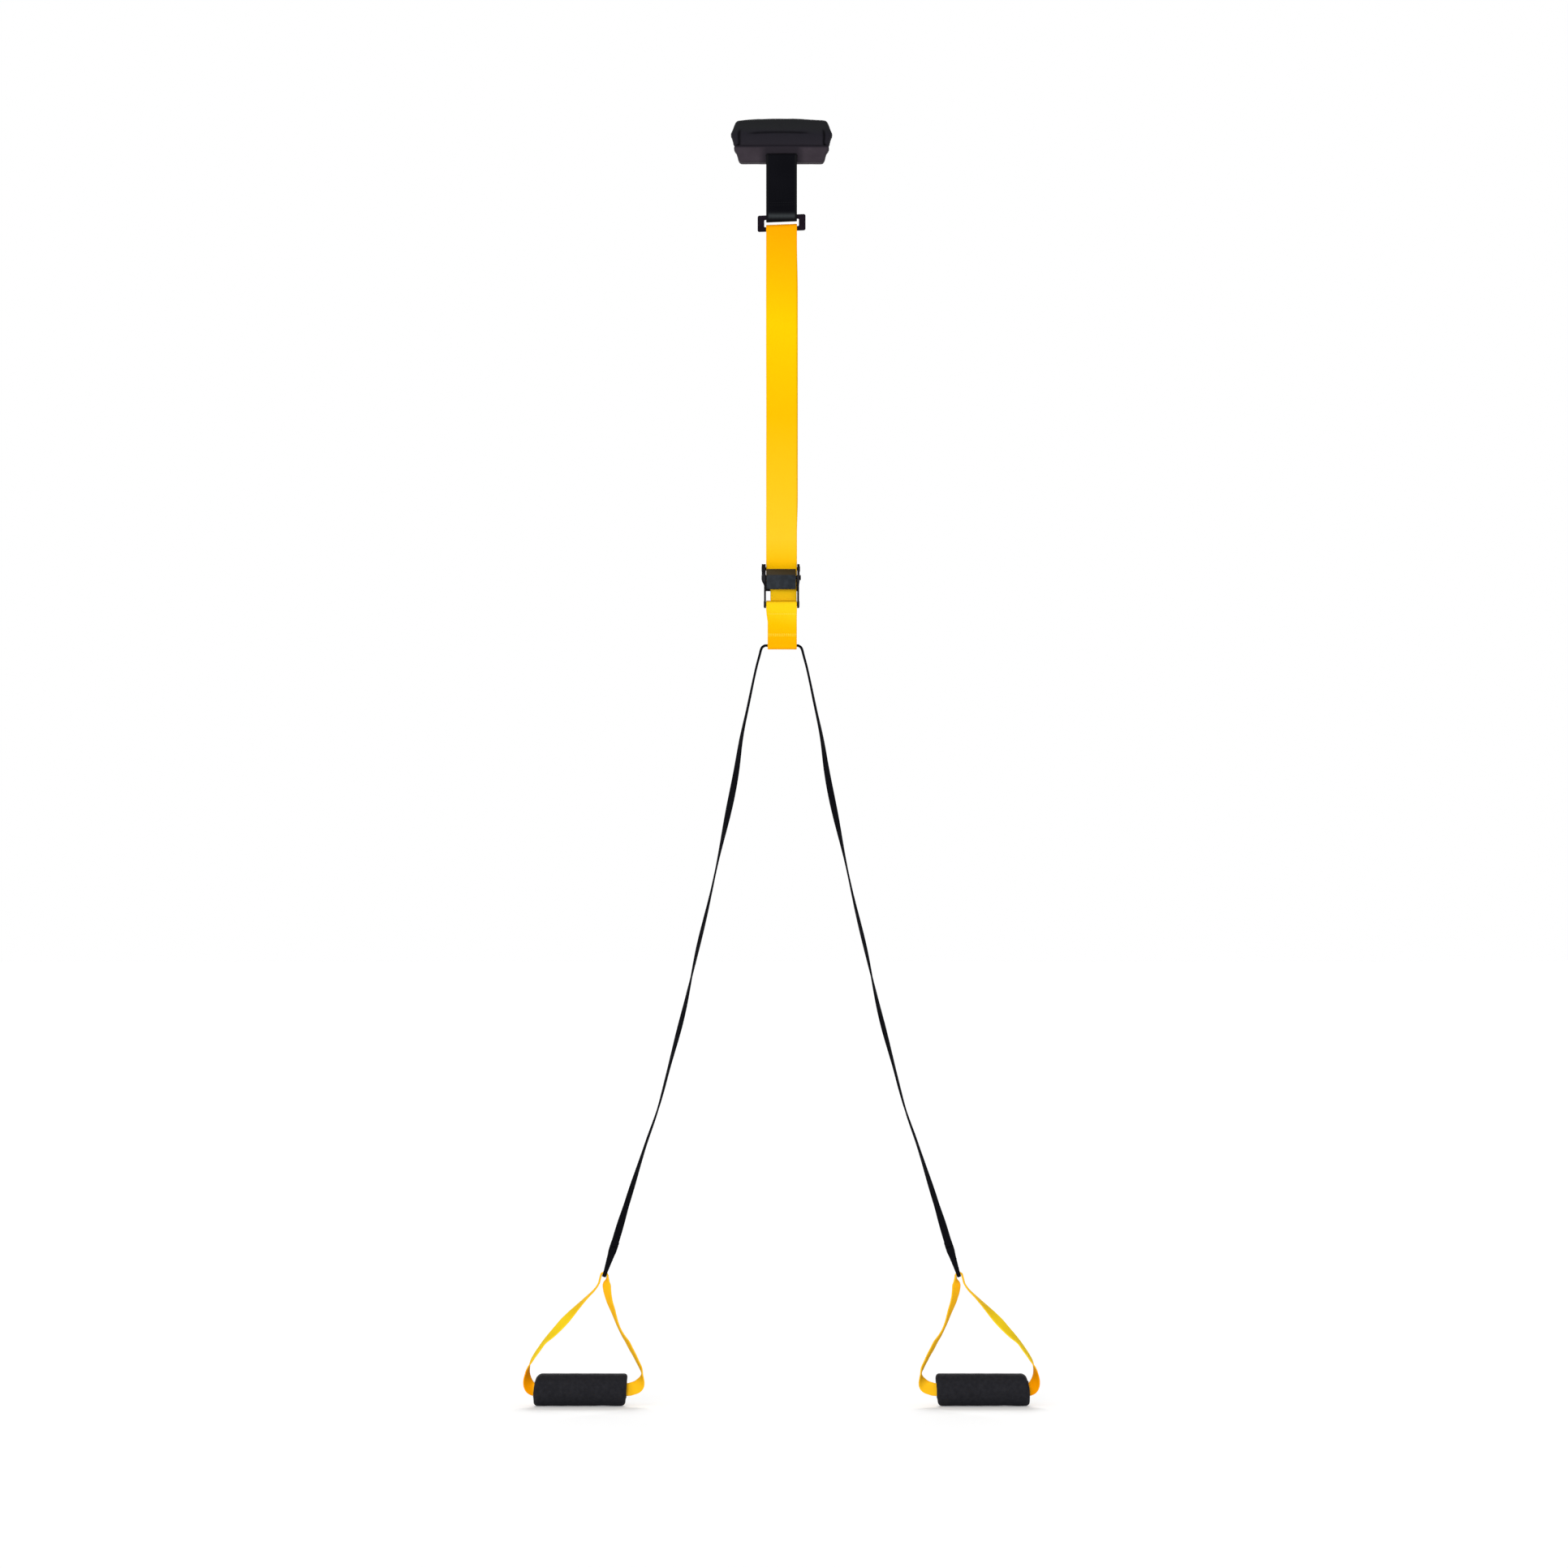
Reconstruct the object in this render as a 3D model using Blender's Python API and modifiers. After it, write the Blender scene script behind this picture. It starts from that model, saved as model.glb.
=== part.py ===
# Suspension trainer: a door anchor pad, a ring, a doubled adjusting strap with a cam buckle,
# and one black strap that runs through the lower loop to two handles.
# Metres, +Z up. The front of the trainer faces -Y. The origin is the centre of the pad's flat
# front panel, the face that lies against the door.
import math

import bmesh
import bpy
from mathutils import Matrix, Vector

MM = 0.001

# Shared clearances and fineness
SEAT_GAP = 0.3 * MM        # between pieces that touch
CUT_OVERRUN = 2.0 * MM     # how far a cutter runs past what it cuts
MERGE_DISTANCE = 0.01 * MM
ARC_STEP = math.radians(20)
NEARLY_STRAIGHT = math.radians(82)   # half of the angle inside a corner that isn't rounded
SMOOTH_UNDER = math.radians(35)
CUSHION_CORNER_STEPS = 3
GRIP_STEPS = 40
PIN_STEPS = 20
ROUTE_FINE_STEPS = 24

# Webbing
WEB_WIDTH = 38 * MM
WEB_THICKNESS = 1.6 * MM
LAYER_GAP = 0.6 * MM       # air between the two layers of the adjusting strap

# Door anchor pad: a cushioned upper block on a lower block that holds the strap
PAD_WIDTH = 123 * MM
PAD_DEPTH = 44 * MM
PAD_TOP = 26 * MM
PAD_WAIST = -7.6 * MM      # underside of the upper block
PAD_CROWN = 2.2 * MM       # how much the top edge rises from its ends to its middle
PAD_EDGE_DEPTH = 11 * MM               # depth over which the front and back edges round off
PAD_TOP_ROUND = 14 * MM                # how far the panels draw in from the top,
PAD_SIDE_ROUND = 7 * MM                # from the ends
PAD_LOW_ROUND = 3 * MM                 # and from the underside
PAD_SKIN = 1.2 * MM
PAD_WIDEST = 6 * MM        # height at which the ends of the upper block stand furthest out
PAD_TOP_INSET = 5.5 * MM
PAD_WAIST_INSET = 4.0 * MM
PAD_CORNER = 4 * MM
BASE_BOTTOM = -27 * MM
BASE_WIDTH = 117 * MM
BASE_SHOULDER = 4 * MM     # how far below its top the lower block starts to narrow
BASE_TAPER = 8.5 * MM
BASE_EDGE_ROUND = 3.5 * MM
BASE_CORNER = 3 * MM
CROWN_STEPS = 8
PAD_EDGE_STEPS = 4
BASE_EDGE_STEPS = 3

# Strap exit, core rod and anchor strap
EXIT_Z = -17 * MM
ROD_RADIUS = 3.4 * MM
ROD_OVERHANG = 3 * MM                  # past each edge of the strap
ROD_SPAN = WEB_WIDTH + 2 * ROD_OVERHANG
ROOT_NECK = 12 * MM                    # rod centre to where the strap's two layers meet
ANCHOR_HALF = WEB_THICKNESS            # two sewn layers, so half of both is one layer
EXIT_AXIS_Y = -3.2 * MM                # plane in which the anchor strap and the ring hang
ANCHOR_NECK = 14 * MM                  # eye centre to where its two layers meet

# Ring
RING_SIDE_PLAY = 2.3 * MM              # between an edge of the strap and the end of the slot
RING_TAB = 8.2 * MM                    # solid end of the ring beside the slot
RING_SLOT_WIDTH = WEB_WIDTH + 2 * RING_SIDE_PLAY
RING_WIDTH = RING_SLOT_WIDTH + 2 * RING_TAB
RING_HEIGHT = 20 * MM
RING_DEPTH = 4 * MM
RING_BAR = 5.5 * MM
RING_CORNER = 2.2 * MM
RING_TOP = -93 * MM
EYE_INNER = 3.7 * MM                   # clears the corners of a ring bar as it turns

# Adjusting strap and buckle
EYE_NECK = 13 * MM
BUCKLE_TOP = -523 * MM
BUCKLE_HEIGHT = 54.5 * MM
CHEEK_PLAY = 1.6 * MM                  # between an edge of the strap and a cheek
CHEEK_GAP = WEB_WIDTH + 2 * CHEEK_PLAY
CHEEK_SHEET = 2.4 * MM
CHEEK_ROUND = 3.5 * MM
UPPER_BAR_RADIUS = 2.2 * MM
UPPER_BAR_DROP = 6 * MM                # below the top of the buckle
LOWER_BAR_RADIUS = 2.5 * MM
LOWER_BAR_RISE = 4.8 * MM              # above the foot of the buckle
BAR_CLEARANCE = 0.3 * MM
PRESS_SHEET = 2.0 * MM
PRESS_DROP = 13.5 * MM
PRESS_HEIGHT = 20 * MM
REAR_RETURN = 34 * MM                  # sewn-back end of the rear layer above the upper bar
REAR_NECK = 12 * MM
TAIL_LENGTH = 92 * MM                  # free end below the top of the buckle

# Cam lever
CAM_PIN_RADIUS = 2.0 * MM
CAM_PIN_DROP = 17 * MM
CAM_PIN_FORWARD = 6.4 * MM             # pin centre to the face of the front layer
CAM_RELIEF = 5.0 * MM                  # radius of the cam that faces the strap when it is open
CAM_TEETH = 5
CAM_TOOTH = 0.9 * MM
CAM_SECTOR = math.radians(50)          # angle that the teeth take up
CAM_SECTOR_BELOW_SHARE = 0.7           # how much of it lies below the pin's height
CAM_UPPER_RELIEF = (math.radians(35), math.radians(105))
CAM_LOWER_RELIEF = (math.radians(235), math.radians(300))
LEVER_PLAY = 2.1 * MM                  # between the lever and a cheek
LEVER_WIDTH = CHEEK_GAP - 2 * LEVER_PLAY
LEVER_SHEET = 3.0 * MM
LEVER_RISE = 9.5 * MM
LEVER_FALL = 14.5 * MM
LEVER_FORWARD = 7.0 * MM
LEVER_KICK = 3.2 * MM                  # how far the thumb edge stands out further than the top
SPRING_WIRE = 0.9 * MM
SPRING_TURNS = 4
SPRING_PITCH = 1.5 * MM
SPRING_POINTS = 9
SPRING_SIDE_PLAY = 1.5 * MM            # between the coil's end and the end of its slot
HEAD_THICKNESS = 1.4 * MM
HEAD_RADIUS_SHARE = 1.7                # rivet head radius over its pin's radius

# Lower loop
FOLD_DROP = 50.9 * MM                  # lower bar centre to fold centre
FOLD_INNER = 3.2 * MM
LOOP_NECK_UPPER = 11 * MM
LOOP_NECK_LOWER = 11.5 * MM
LOOP_LAYER = 1.7 * MM

# Black handle strap
STRAP_WIDTH = 10 * MM
STRAP_THICKNESS = 2.2 * MM
BIGHT_WIDTH = 5.0 * MM
BIGHT_THICKNESS = 3.0 * MM
BIGHT_OVERHANG = 1.0 * MM
LEG_START_GAP = 0.5 * MM
LEG_REACH = 198 * MM                   # start of a leg to its lower end, sideways
LEG_DROP = 776.4 * MM                  # and downwards
LEG_STATIONS = 64
LEG_END_STATIONS = 3                   # of these, how many the fold replaces
LEG_TAPER_SHARE = 0.07                 # of its length, over which a leg grows to its full width
LEG_TIP_WIDTH_SHARE = 0.8
LEG_TIP_THICKNESS_SHARE = 0.33
LEG_LEAN_SHARES = (0.9, 0.95)          # where it moves forward to lie before its sewn-back end
END_FOLD_WIDTH = 5.0 * MM
END_FOLD_THICKNESS = 2.0 * MM
END_FOLD_RADIUS = 4.8 * MM             # middle of the strap, round the handle loop
END_FOLD_SHAPE = 0.6                   # 1 is round, less is squarer
END_FOLD_STEPS = 12
END_RETURN = 40 * MM
END_RETURN_SHARES = [(0.45, 0.75), (0.7, 1.0), (1.0, 1.0)]   # up the return, and its width

# Handles
GRIP_LENGTH = 116 * MM
GRIP_RADIUS = 20 * MM
GRIP_ROUND = 4.5 * MM
HANDLE_DROP = 139.5 * MM               # lower end of a leg to the grip's centre, downwards
HANDLE_OUTSET = 29 * MM                # and outwards
TUBE_OUTER = 11 * MM
TUBE_INNER = 8.4 * MM
TUBE_INSET = 1.5 * MM
HANDLE_WEB_WIDTH = 16 * MM
HANDLE_WEB_THICKNESS = 1.6 * MM
APEX_WIDTH = 6.0 * MM
APEX_THICKNESS = 2.4 * MM
APEX_INNER = 3.1 * MM
APEX_ARC_POINTS = 11
APEX_START = math.radians(172)         # where the inner branch meets the fold
APEX_END = math.radians(38)            # where the outer branch leaves it
HANDLE_GROW_SHARES = (0.2, 0.7, 1.0)   # widening of the webbing over its first points
HANDLE_STATIONS = 96

# Places that follow from the sizes above
RING_UPPER_BAR_Z = RING_TOP - RING_BAR / 2
RING_LOWER_BAR_Z = RING_TOP - RING_HEIGHT + RING_BAR / 2
FRONT_LAYER_Y = EXIT_AXIS_Y - (WEB_THICKNESS + LAYER_GAP) / 2
REAR_LAYER_Y = EXIT_AXIS_Y + (WEB_THICKNESS + LAYER_GAP) / 2
EYE_MIDDLE = EYE_INNER + WEB_THICKNESS / 2
REAR_EYE_MIDDLE = UPPER_BAR_RADIUS + BAR_CLEARANCE + WEB_THICKNESS / 2
UPPER_BAR_Y = REAR_LAYER_Y + REAR_EYE_MIDDLE
UPPER_BAR_Z = BUCKLE_TOP - UPPER_BAR_DROP
BUCKLE_BOTTOM = BUCKLE_TOP - BUCKLE_HEIGHT
LOWER_BAR_Z = BUCKLE_BOTTOM + LOWER_BAR_RISE
LOOP_EYE_OUTER = LOWER_BAR_RADIUS + BAR_CLEARANCE + LOOP_LAYER
FOLD_OUTER = FOLD_INNER + LOOP_LAYER
LOWER_PLANE_Y = FRONT_LAYER_Y - WEB_THICKNESS / 2 - SEAT_GAP - max(LOOP_EYE_OUTER, FOLD_OUTER)
FOLD_Z = LOWER_BAR_Z - FOLD_DROP
CAM_PIN_Y = FRONT_LAYER_Y - WEB_THICKNESS / 2 - CAM_PIN_FORWARD
CAM_PIN_Z = BUCKLE_TOP - CAM_PIN_DROP
BIGHT_END_X = WEB_WIDTH / 2 + BIGHT_OVERHANG
LEG_HINGE_X = BIGHT_END_X + LEG_START_GAP
APEX_X = LEG_HINGE_X + LEG_REACH
APEX_Z = FOLD_Z - LEG_DROP
GRIP_CENTRE_X = APEX_X + HANDLE_OUTSET
GRIP_CENTRE_Z = APEX_Z - HANDLE_DROP

# The black strap's route to the right handle, as shares of a leg's reach and of its drop.
# The last point is the middle of the fold that carries the handle loop.
LEG_ROUTE_SHARES = [
    (0.0, 0.0), (0.02, 0.004), (0.035, 0.017), (0.061, 0.043), (0.104, 0.095), (0.146, 0.146),
    (0.177, 0.198), (0.21, 0.243), (0.28, 0.326), (0.346, 0.404), (0.424, 0.487), (0.503, 0.578),
    (0.588, 0.661), (0.662, 0.732), (0.74, 0.79), (0.818, 0.852), (0.884, 0.906), (0.937, 0.951),
    (0.972, 0.979), (1.0, 1.0),
]
# Turn of the strap about its own line at shares of its length, in degrees: 0 is edge-on to
# the front.
LEG_TURN_SHARES = [
    (0.0, 0), (0.1, 8), (0.24, 48), (0.36, 0), (0.46, -20), (0.6, 30), (0.68, 10),
    (0.78, -8), (0.88, -38), (0.93, -68), (1.0, -75),
]

# The loop of the right handle, from the fold of the black strap down the outer side, through
# the grip and up the inner side. Each row has the share of the handle's drop, the share of
# half the grip's length by which the webbing stands off the line from the fold to the middle
# of the grip, and the direction of its width as x, y, z.
HANDLE_ROUTE_SHARES = [
    (0.047, 0.149, (0, 1, 0)),
    (0.136, 0.251, (0.1, 1, 0)),
    (0.258, 0.449, (0.5, 0.8, 0.4)),
    (0.409, 0.683, (0.75, 0.55, 0.6)),
    (0.559, 0.884, (0.4, 0.9, 0.3)),
    (0.717, 1.047, (0, 1, 0)),
    (0.846, 1.172, (-0.2, 1, -0.1)),
    (0.932, 1.215, (-0.3, 0.8, 0.3)),
    (0.989, 1.143, (0.1, 0.4, 0.8)),
    (1.0, 1.026, (0, 0, 1)),
    (1.0, 0.5, (0, 0, 1)),
    (1.0, 0.0, (0, 0, 1)),
    (1.0, -0.5, (0, 0, 1)),
    (1.0, -1.026, (0, 0, 1)),
    (0.996, -1.196, (0, 0.1, 1)),
    (0.961, -1.282, (-0.2, 0.6, 0.6)),
    (0.875, -1.256, (0, 1, 0.1)),
    (0.781, -1.123, (0, 1, 0)),
    (0.659, -0.89, (0, 1, 0)),
    (0.473, -0.573, (0.15, 1, 0)),
    (0.287, -0.325, (0.6, 0.7, 0.1)),
    (0.129, -0.168, (0.8, 0.55, 0)),
    (0.05, -0.109, (0.35, 0.95, 0)),
]


def clear_scene():
    for obj in list(bpy.data.objects):
        bpy.data.objects.remove(obj, do_unlink=True)


def collection(name):
    made = bpy.data.collections.new(name)
    bpy.context.scene.collection.children.link(made)
    return made


clear_scene()
parts = collection("suspension trainer")
cutters = collection("cutters")


def material(name, colour, roughness, metallic=0.0):
    made = bpy.data.materials.get(name)
    if made is None:
        made = bpy.data.materials.new(name)
        made.use_nodes = True
        shader = made.node_tree.nodes["Principled BSDF"]
        shader.inputs["Base Color"].default_value = (*colour, 1.0)
        shader.inputs["Roughness"].default_value = roughness
        shader.inputs["Metallic"].default_value = metallic
    return made


def black_fabric():
    return material("black pad fabric", (0.018, 0.018, 0.021), 0.8)


def black_webbing():
    return material("black webbing", (0.012, 0.013, 0.016), 0.7)


def yellow_webbing():
    return material("yellow webbing", (0.98, 0.56, 0.01), 0.6)


def black_foam():
    return material("black foam", (0.022, 0.022, 0.026), 0.85)


def grey_foam():
    return material("grey core foam", (0.25, 0.25, 0.26), 0.9)


def black_steel():
    return material("black coated steel", (0.01, 0.01, 0.012), 0.4, 0.6)


def bright_steel():
    return material("bright steel", (0.6, 0.6, 0.6), 0.3, 1.0)


def black_plastic():
    return material("black plastic", (0.015, 0.015, 0.017), 0.45)


def finished(obj, look):
    """Gives a piece its material and puts it with the parts."""
    obj.data.materials.clear()
    obj.data.materials.append(look)
    if obj.name not in parts.objects:
        parts.objects.link(obj)
    return obj


def mesh_from_curve(obj):
    """Turns a curve object into a welded mesh object of the same name and place."""
    parts.objects.link(obj)
    bpy.context.view_layer.update()
    evaluated = obj.evaluated_get(bpy.context.evaluated_depsgraph_get())
    mesh = bpy.data.meshes.new_from_object(evaluated)
    weld = bmesh.new()
    weld.from_mesh(mesh)
    bmesh.ops.remove_doubles(weld, verts=weld.verts, dist=MERGE_DISTANCE)
    bmesh.ops.recalc_face_normals(weld, faces=weld.faces)
    weld.to_mesh(mesh)
    weld.free()
    name = obj.name
    place = obj.matrix_world.copy()
    bpy.data.objects.remove(obj)
    made = bpy.data.objects.new(name, mesh)
    made.matrix_world = place
    return made


def outline_curve(name, loops, half_depth):
    """A filled flat outline, extruded both ways along its local Z. The first loop is the edge."""
    data = bpy.data.curves.new(name, "CURVE")
    data.dimensions = "2D"
    data.fill_mode = "BOTH"
    data.extrude = half_depth
    for loop in loops:
        spline = data.splines.new("POLY")
        spline.points.add(len(loop) - 1)
        for point, (u, v) in zip(spline.points, loop):
            point.co = (u, v, 0, 1)
        spline.use_cyclic_u = True
    return bpy.data.objects.new(name, data)


SIDE_VIEW = Matrix(((0, 0, 1, 0), (1, 0, 0, 0), (0, 1, 0, 0), (0, 0, 0, 1)))
FRONT_VIEW = Matrix(((1, 0, 0, 0), (0, 0, -1, 0), (0, 1, 0, 0), (0, 0, 0, 1)))


def side_plate(name, loops, width, centre_x=0.0):
    """A piece whose outline is drawn in the side view, as y and z, and has one width along X."""
    obj = outline_curve(name, loops, width / 2)
    obj.matrix_world = Matrix.Translation((centre_x, 0, 0)) @ SIDE_VIEW
    return mesh_from_curve(obj)


def front_plate(name, loops, depth, centre_y):
    """A piece whose outline is drawn in the front view, as x and z, and has one depth along Y."""
    obj = outline_curve(name, loops, depth / 2)
    obj.matrix_world = Matrix.Translation((0, centre_y, 0)) @ FRONT_VIEW
    return mesh_from_curve(obj)


def rounded(corners, radius, steps=0):
    """The outline through the corners with each one rounded off. A nearly straight corner
    stays as it is. With no steps given, an arc has as many as its turn needs."""
    loop = []
    count = len(corners)
    for k in range(count):
        here = Vector(corners[k])
        before = Vector(corners[k - 1]) - here
        after = Vector(corners[(k + 1) % count]) - here
        half_turn = before.angle(after) / 2
        if half_turn > NEARLY_STRAIGHT:
            loop.append(tuple(here))
            continue
        reach = min(radius / math.tan(half_turn), before.length / 2, after.length / 2)
        start = here + before.normalized() * reach
        end = here + after.normalized() * reach
        middle = here + (start + end - 2 * here).normalized() * reach / math.cos(half_turn)
        inner = (start - middle).length
        count_here = steps or max(2, math.ceil((math.pi - 2 * half_turn) / ARC_STEP))
        for s in range(count_here + 1):
            blend = start.lerp(end, s / count_here)
            loop.append(tuple(middle + (blend - middle).normalized() * inner))
    return loop


def arc(centre, radius, start, end):
    """Points of an arc from one angle to the other, in radians."""
    steps = max(2, math.ceil(abs(end - start) / ARC_STEP))
    angles = [start + (end - start) * s / steps for s in range(steps + 1)]
    return [(centre[0] + radius * math.cos(a), centre[1] + radius * math.sin(a)) for a in angles]


def eye_arc(centre, radius, neck_half, neck_reach, neck_up):
    """The arc of an eye from one tangent of its neck to the other, in y and z, anticlockwise."""
    distance = math.hypot(neck_half, neck_reach)
    tangent = math.atan2(neck_half, neck_reach) + math.acos(radius / distance)
    neck = math.pi / 2 if neck_up else -math.pi / 2
    return arc(centre, radius, neck + tangent, neck + 2 * math.pi - tangent)


def teardrop(centre, radius, tip_reach, tip_up):
    """An eye's hole: round, and drawn out to a tip where the layers meet."""
    tip = (centre[0], centre[1] + (tip_reach if tip_up else -tip_reach))
    return eye_arc(centre, radius, 0.0, tip_reach, tip_up) + [tip]


def band_outline(path, thickness):
    """The closed outline of a band that follows a path of y and z points."""
    left = []
    right = []
    for k, point in enumerate(path):
        before = Vector(path[max(k - 1, 0)])
        after = Vector(path[min(k + 1, len(path) - 1)])
        along = (after - before).normalized()
        across = Vector((-along.y, along.x)) * thickness / 2
        left.append(tuple(Vector(point) + across))
        right.append(tuple(Vector(point) - across))
    return left + right[::-1]


def turned(name, profile, place, turn, steps):
    """A round piece. Its profile is radius and height, down the outer side from top to bottom."""
    mesh = bpy.data.meshes.new(name)
    closed = profile[0][0] > 0
    count = len(profile)
    edges = [(k, (k + 1) % count) for k in range(count if closed else count - 1)]
    mesh.from_pydata([(radius, 0, height) for radius, height in profile], edges, [])
    obj = bpy.data.objects.new(name, mesh)
    screw = obj.modifiers.new("Screw", "SCREW")
    screw.steps = steps
    screw.render_steps = steps
    screw.use_merge_vertices = True
    screw.merge_threshold = MERGE_DISTANCE
    obj.location = place
    obj.rotation_euler = turn
    return obj


ALONG_X = (0, math.pi / 2, 0)


def cut(obj, cutter, operation="DIFFERENCE"):
    """Cuts a piece with a cutter, or joins the cutter to it."""
    if cutter.name not in cutters.objects:
        cutters.objects.link(cutter)
    cutter.hide_render = True
    cutter.display_type = "WIRE"
    boolean = obj.modifiers.new(operation.title(), "BOOLEAN")
    boolean.operation = operation
    boolean.object = cutter
    boolean.solver = "EXACT"
    return obj


def box_cutter(name, low, high):
    """A block between two corners, used as a cutter."""
    size = Vector(high) - Vector(low)
    middle = (Vector(high) + Vector(low)) / 2
    mesh = bpy.data.meshes.new(name)
    block = bmesh.new()
    place = Matrix.Translation(middle) @ Matrix.Diagonal((*size, 1))
    bmesh.ops.create_cube(block, size=1, matrix=place)
    block.to_mesh(mesh)
    block.free()
    return bpy.data.objects.new(name, mesh)


def rod_cutter(name, radius, length, y, z, x=0.0):
    """A round bar along X, used as a cutter."""
    mesh = bpy.data.meshes.new(name)
    rod = bmesh.new()
    place = Matrix.Translation((x, y, z)) @ Matrix.Rotation(math.pi / 2, 4, "Y")
    bmesh.ops.create_cone(rod, cap_ends=True, segments=PIN_STEPS, radius1=radius, radius2=radius,
                          depth=length, matrix=place)
    rod.to_mesh(mesh)
    rod.free()
    return bpy.data.objects.new(name, mesh)


def smooth_route(points, samples):
    """Evenly spaced points on a smooth curve through the given ones. The first three values of
    a point are its place, and any others are carried along."""
    count = len(points)
    fine = []
    for k in range(count - 1):
        around = (points[min(max(k + step, 0), count - 1)] for step in (-1, 0, 1, 2))
        p0, p1, p2, p3 = around
        for s in range(ROUTE_FINE_STEPS):
            t = s / ROUTE_FINE_STEPS
            fine.append(tuple(
                (2 * b + (c - a) * t + (2 * a - 5 * b + 4 * c - d) * t * t
                 + (3 * b - a - 3 * c + d) * t ** 3) / 2
                for a, b, c, d in zip(p0, p1, p2, p3)))
    fine.append(tuple(points[-1]))
    run = [0.0]
    for a, b in zip(fine, fine[1:]):
        run.append(run[-1] + (Vector(b[:3]) - Vector(a[:3])).length)
    route = []
    k = 0
    for s in range(samples + 1):
        distance = run[-1] * s / samples
        while k < len(run) - 2 and run[k + 1] < distance:
            k += 1
        t = (distance - run[k]) / (run[k + 1] - run[k])
        route.append(tuple(a + (b - a) * t for a, b in zip(fine[k], fine[k + 1])))
    return route


def table_value(table, share):
    """Reads a table of share and value pairs, with smooth steps between its rows."""
    for (s0, v0), (s1, v1) in zip(table, table[1:]):
        if share <= s1:
            t = (share - s0) / (s1 - s0)
            return v0 + (v1 - v0) * t * t * (3 - 2 * t)
    return table[-1][1]


def webbing(name, stations, closed=False):
    """A loft of webbing sections. A station is its middle, the direction of its width, its
    width and its thickness."""
    count = len(stations)
    shape = bmesh.new()
    rings = []
    for k, (middle, across, width, thickness) in enumerate(stations):
        before = stations[k - 1][0] if closed or k else middle
        after = stations[(k + 1) % count][0] if closed or k < count - 1 else middle
        along = (after - before).normalized()
        across = (across - along * across.dot(along)).normalized()
        through = along.cross(across)
        corners = [(1, 1), (-1, 1), (-1, -1), (1, -1)]
        rings.append([shape.verts.new(middle + across * width / 2 * a + through * thickness / 2 * b)
                      for a, b in corners])
    spans = count if closed else count - 1
    for k in range(spans):
        one = rings[k]
        two = rings[(k + 1) % count]
        for c in range(4):
            shape.faces.new((one[c], one[(c + 1) % 4], two[(c + 1) % 4], two[c]))
    if not closed:
        shape.faces.new(rings[0][::-1])
        shape.faces.new(rings[-1])
    bmesh.ops.triangulate(shape, faces=shape.faces)
    bmesh.ops.recalc_face_normals(shape, faces=shape.faces)
    mesh = bpy.data.meshes.new(name)
    shape.to_mesh(mesh)
    shape.free()
    return bpy.data.objects.new(name, mesh)


def cushion_block(name, outline_at, front, back, edge_depth, steps):
    """A loft through front outlines that draw in towards the front and the back. outline_at
    gives the outline for a share from 0, in the middle, to 1, at the front and back panels."""
    levels = []
    for s in range(steps + 1):
        angle = math.pi / 2 * s / steps
        levels.append((edge_depth * (1 - math.cos(angle)), 1 - math.sin(angle)))
    sections = [(front + depth, share) for depth, share in levels]
    sections += [(back - depth, share) for depth, share in levels[::-1]]
    shape = bmesh.new()
    rings = [[shape.verts.new((x, y, z)) for x, z in outline_at(share)] for y, share in sections]
    for one, two in zip(rings, rings[1:]):
        for k in range(len(one)):
            after = (k + 1) % len(one)
            shape.faces.new((one[k], one[after], two[after], two[k]))
    shape.faces.new(rings[0])
    shape.faces.new(rings[-1][::-1])
    bmesh.ops.recalc_face_normals(shape, faces=shape.faces)
    mesh = bpy.data.meshes.new(name)
    shape.to_mesh(mesh)
    shape.free()
    return bpy.data.objects.new(name, mesh)


def pad_block(name, inset):
    """The upper block as a closed, round-edged form, taken in all round by an inset."""
    def outline_at(share):
        half = PAD_WIDTH / 2 - inset - PAD_SIDE_ROUND * share
        top = PAD_TOP - inset - PAD_TOP_ROUND * share
        low = PAD_WAIST + inset + PAD_LOW_ROUND * share
        shoulder = half - PAD_TOP_INSET
        right = [(half - PAD_WAIST_INSET, low), (half, PAD_WIDEST - PAD_LOW_ROUND * share),
                 (shoulder, top - PAD_CROWN)]
        crown = []
        for s in range(1, CROWN_STEPS):
            place = 1 - 2 * s / CROWN_STEPS
            crown.append((shoulder * place, top - PAD_CROWN * place * place))
        return rounded(right + crown + [(-x, z) for x, z in right[::-1]], PAD_CORNER,
                       CUSHION_CORNER_STEPS)

    return cushion_block(name, outline_at, inset, PAD_DEPTH - inset, PAD_EDGE_DEPTH - inset,
                         PAD_EDGE_STEPS)


def base_block(name):
    """The lower block, with rounded edges front and back."""
    def outline_at(share):
        half = BASE_WIDTH / 2 - BASE_EDGE_ROUND * share
        foot = half - BASE_TAPER
        top = PAD_WAIST - SEAT_GAP - BASE_EDGE_ROUND * share
        low = BASE_BOTTOM + BASE_EDGE_ROUND * share
        right = [(foot, low), (half, top - BASE_SHOULDER), (half - BASE_CORNER, top)]
        return rounded(right + [(-x, z) for x, z in right[::-1]], BASE_CORNER,
                       CUSHION_CORNER_STEPS)

    return cushion_block(name, outline_at, 0.0, PAD_DEPTH, BASE_EDGE_ROUND, BASE_EDGE_STEPS)


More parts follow.
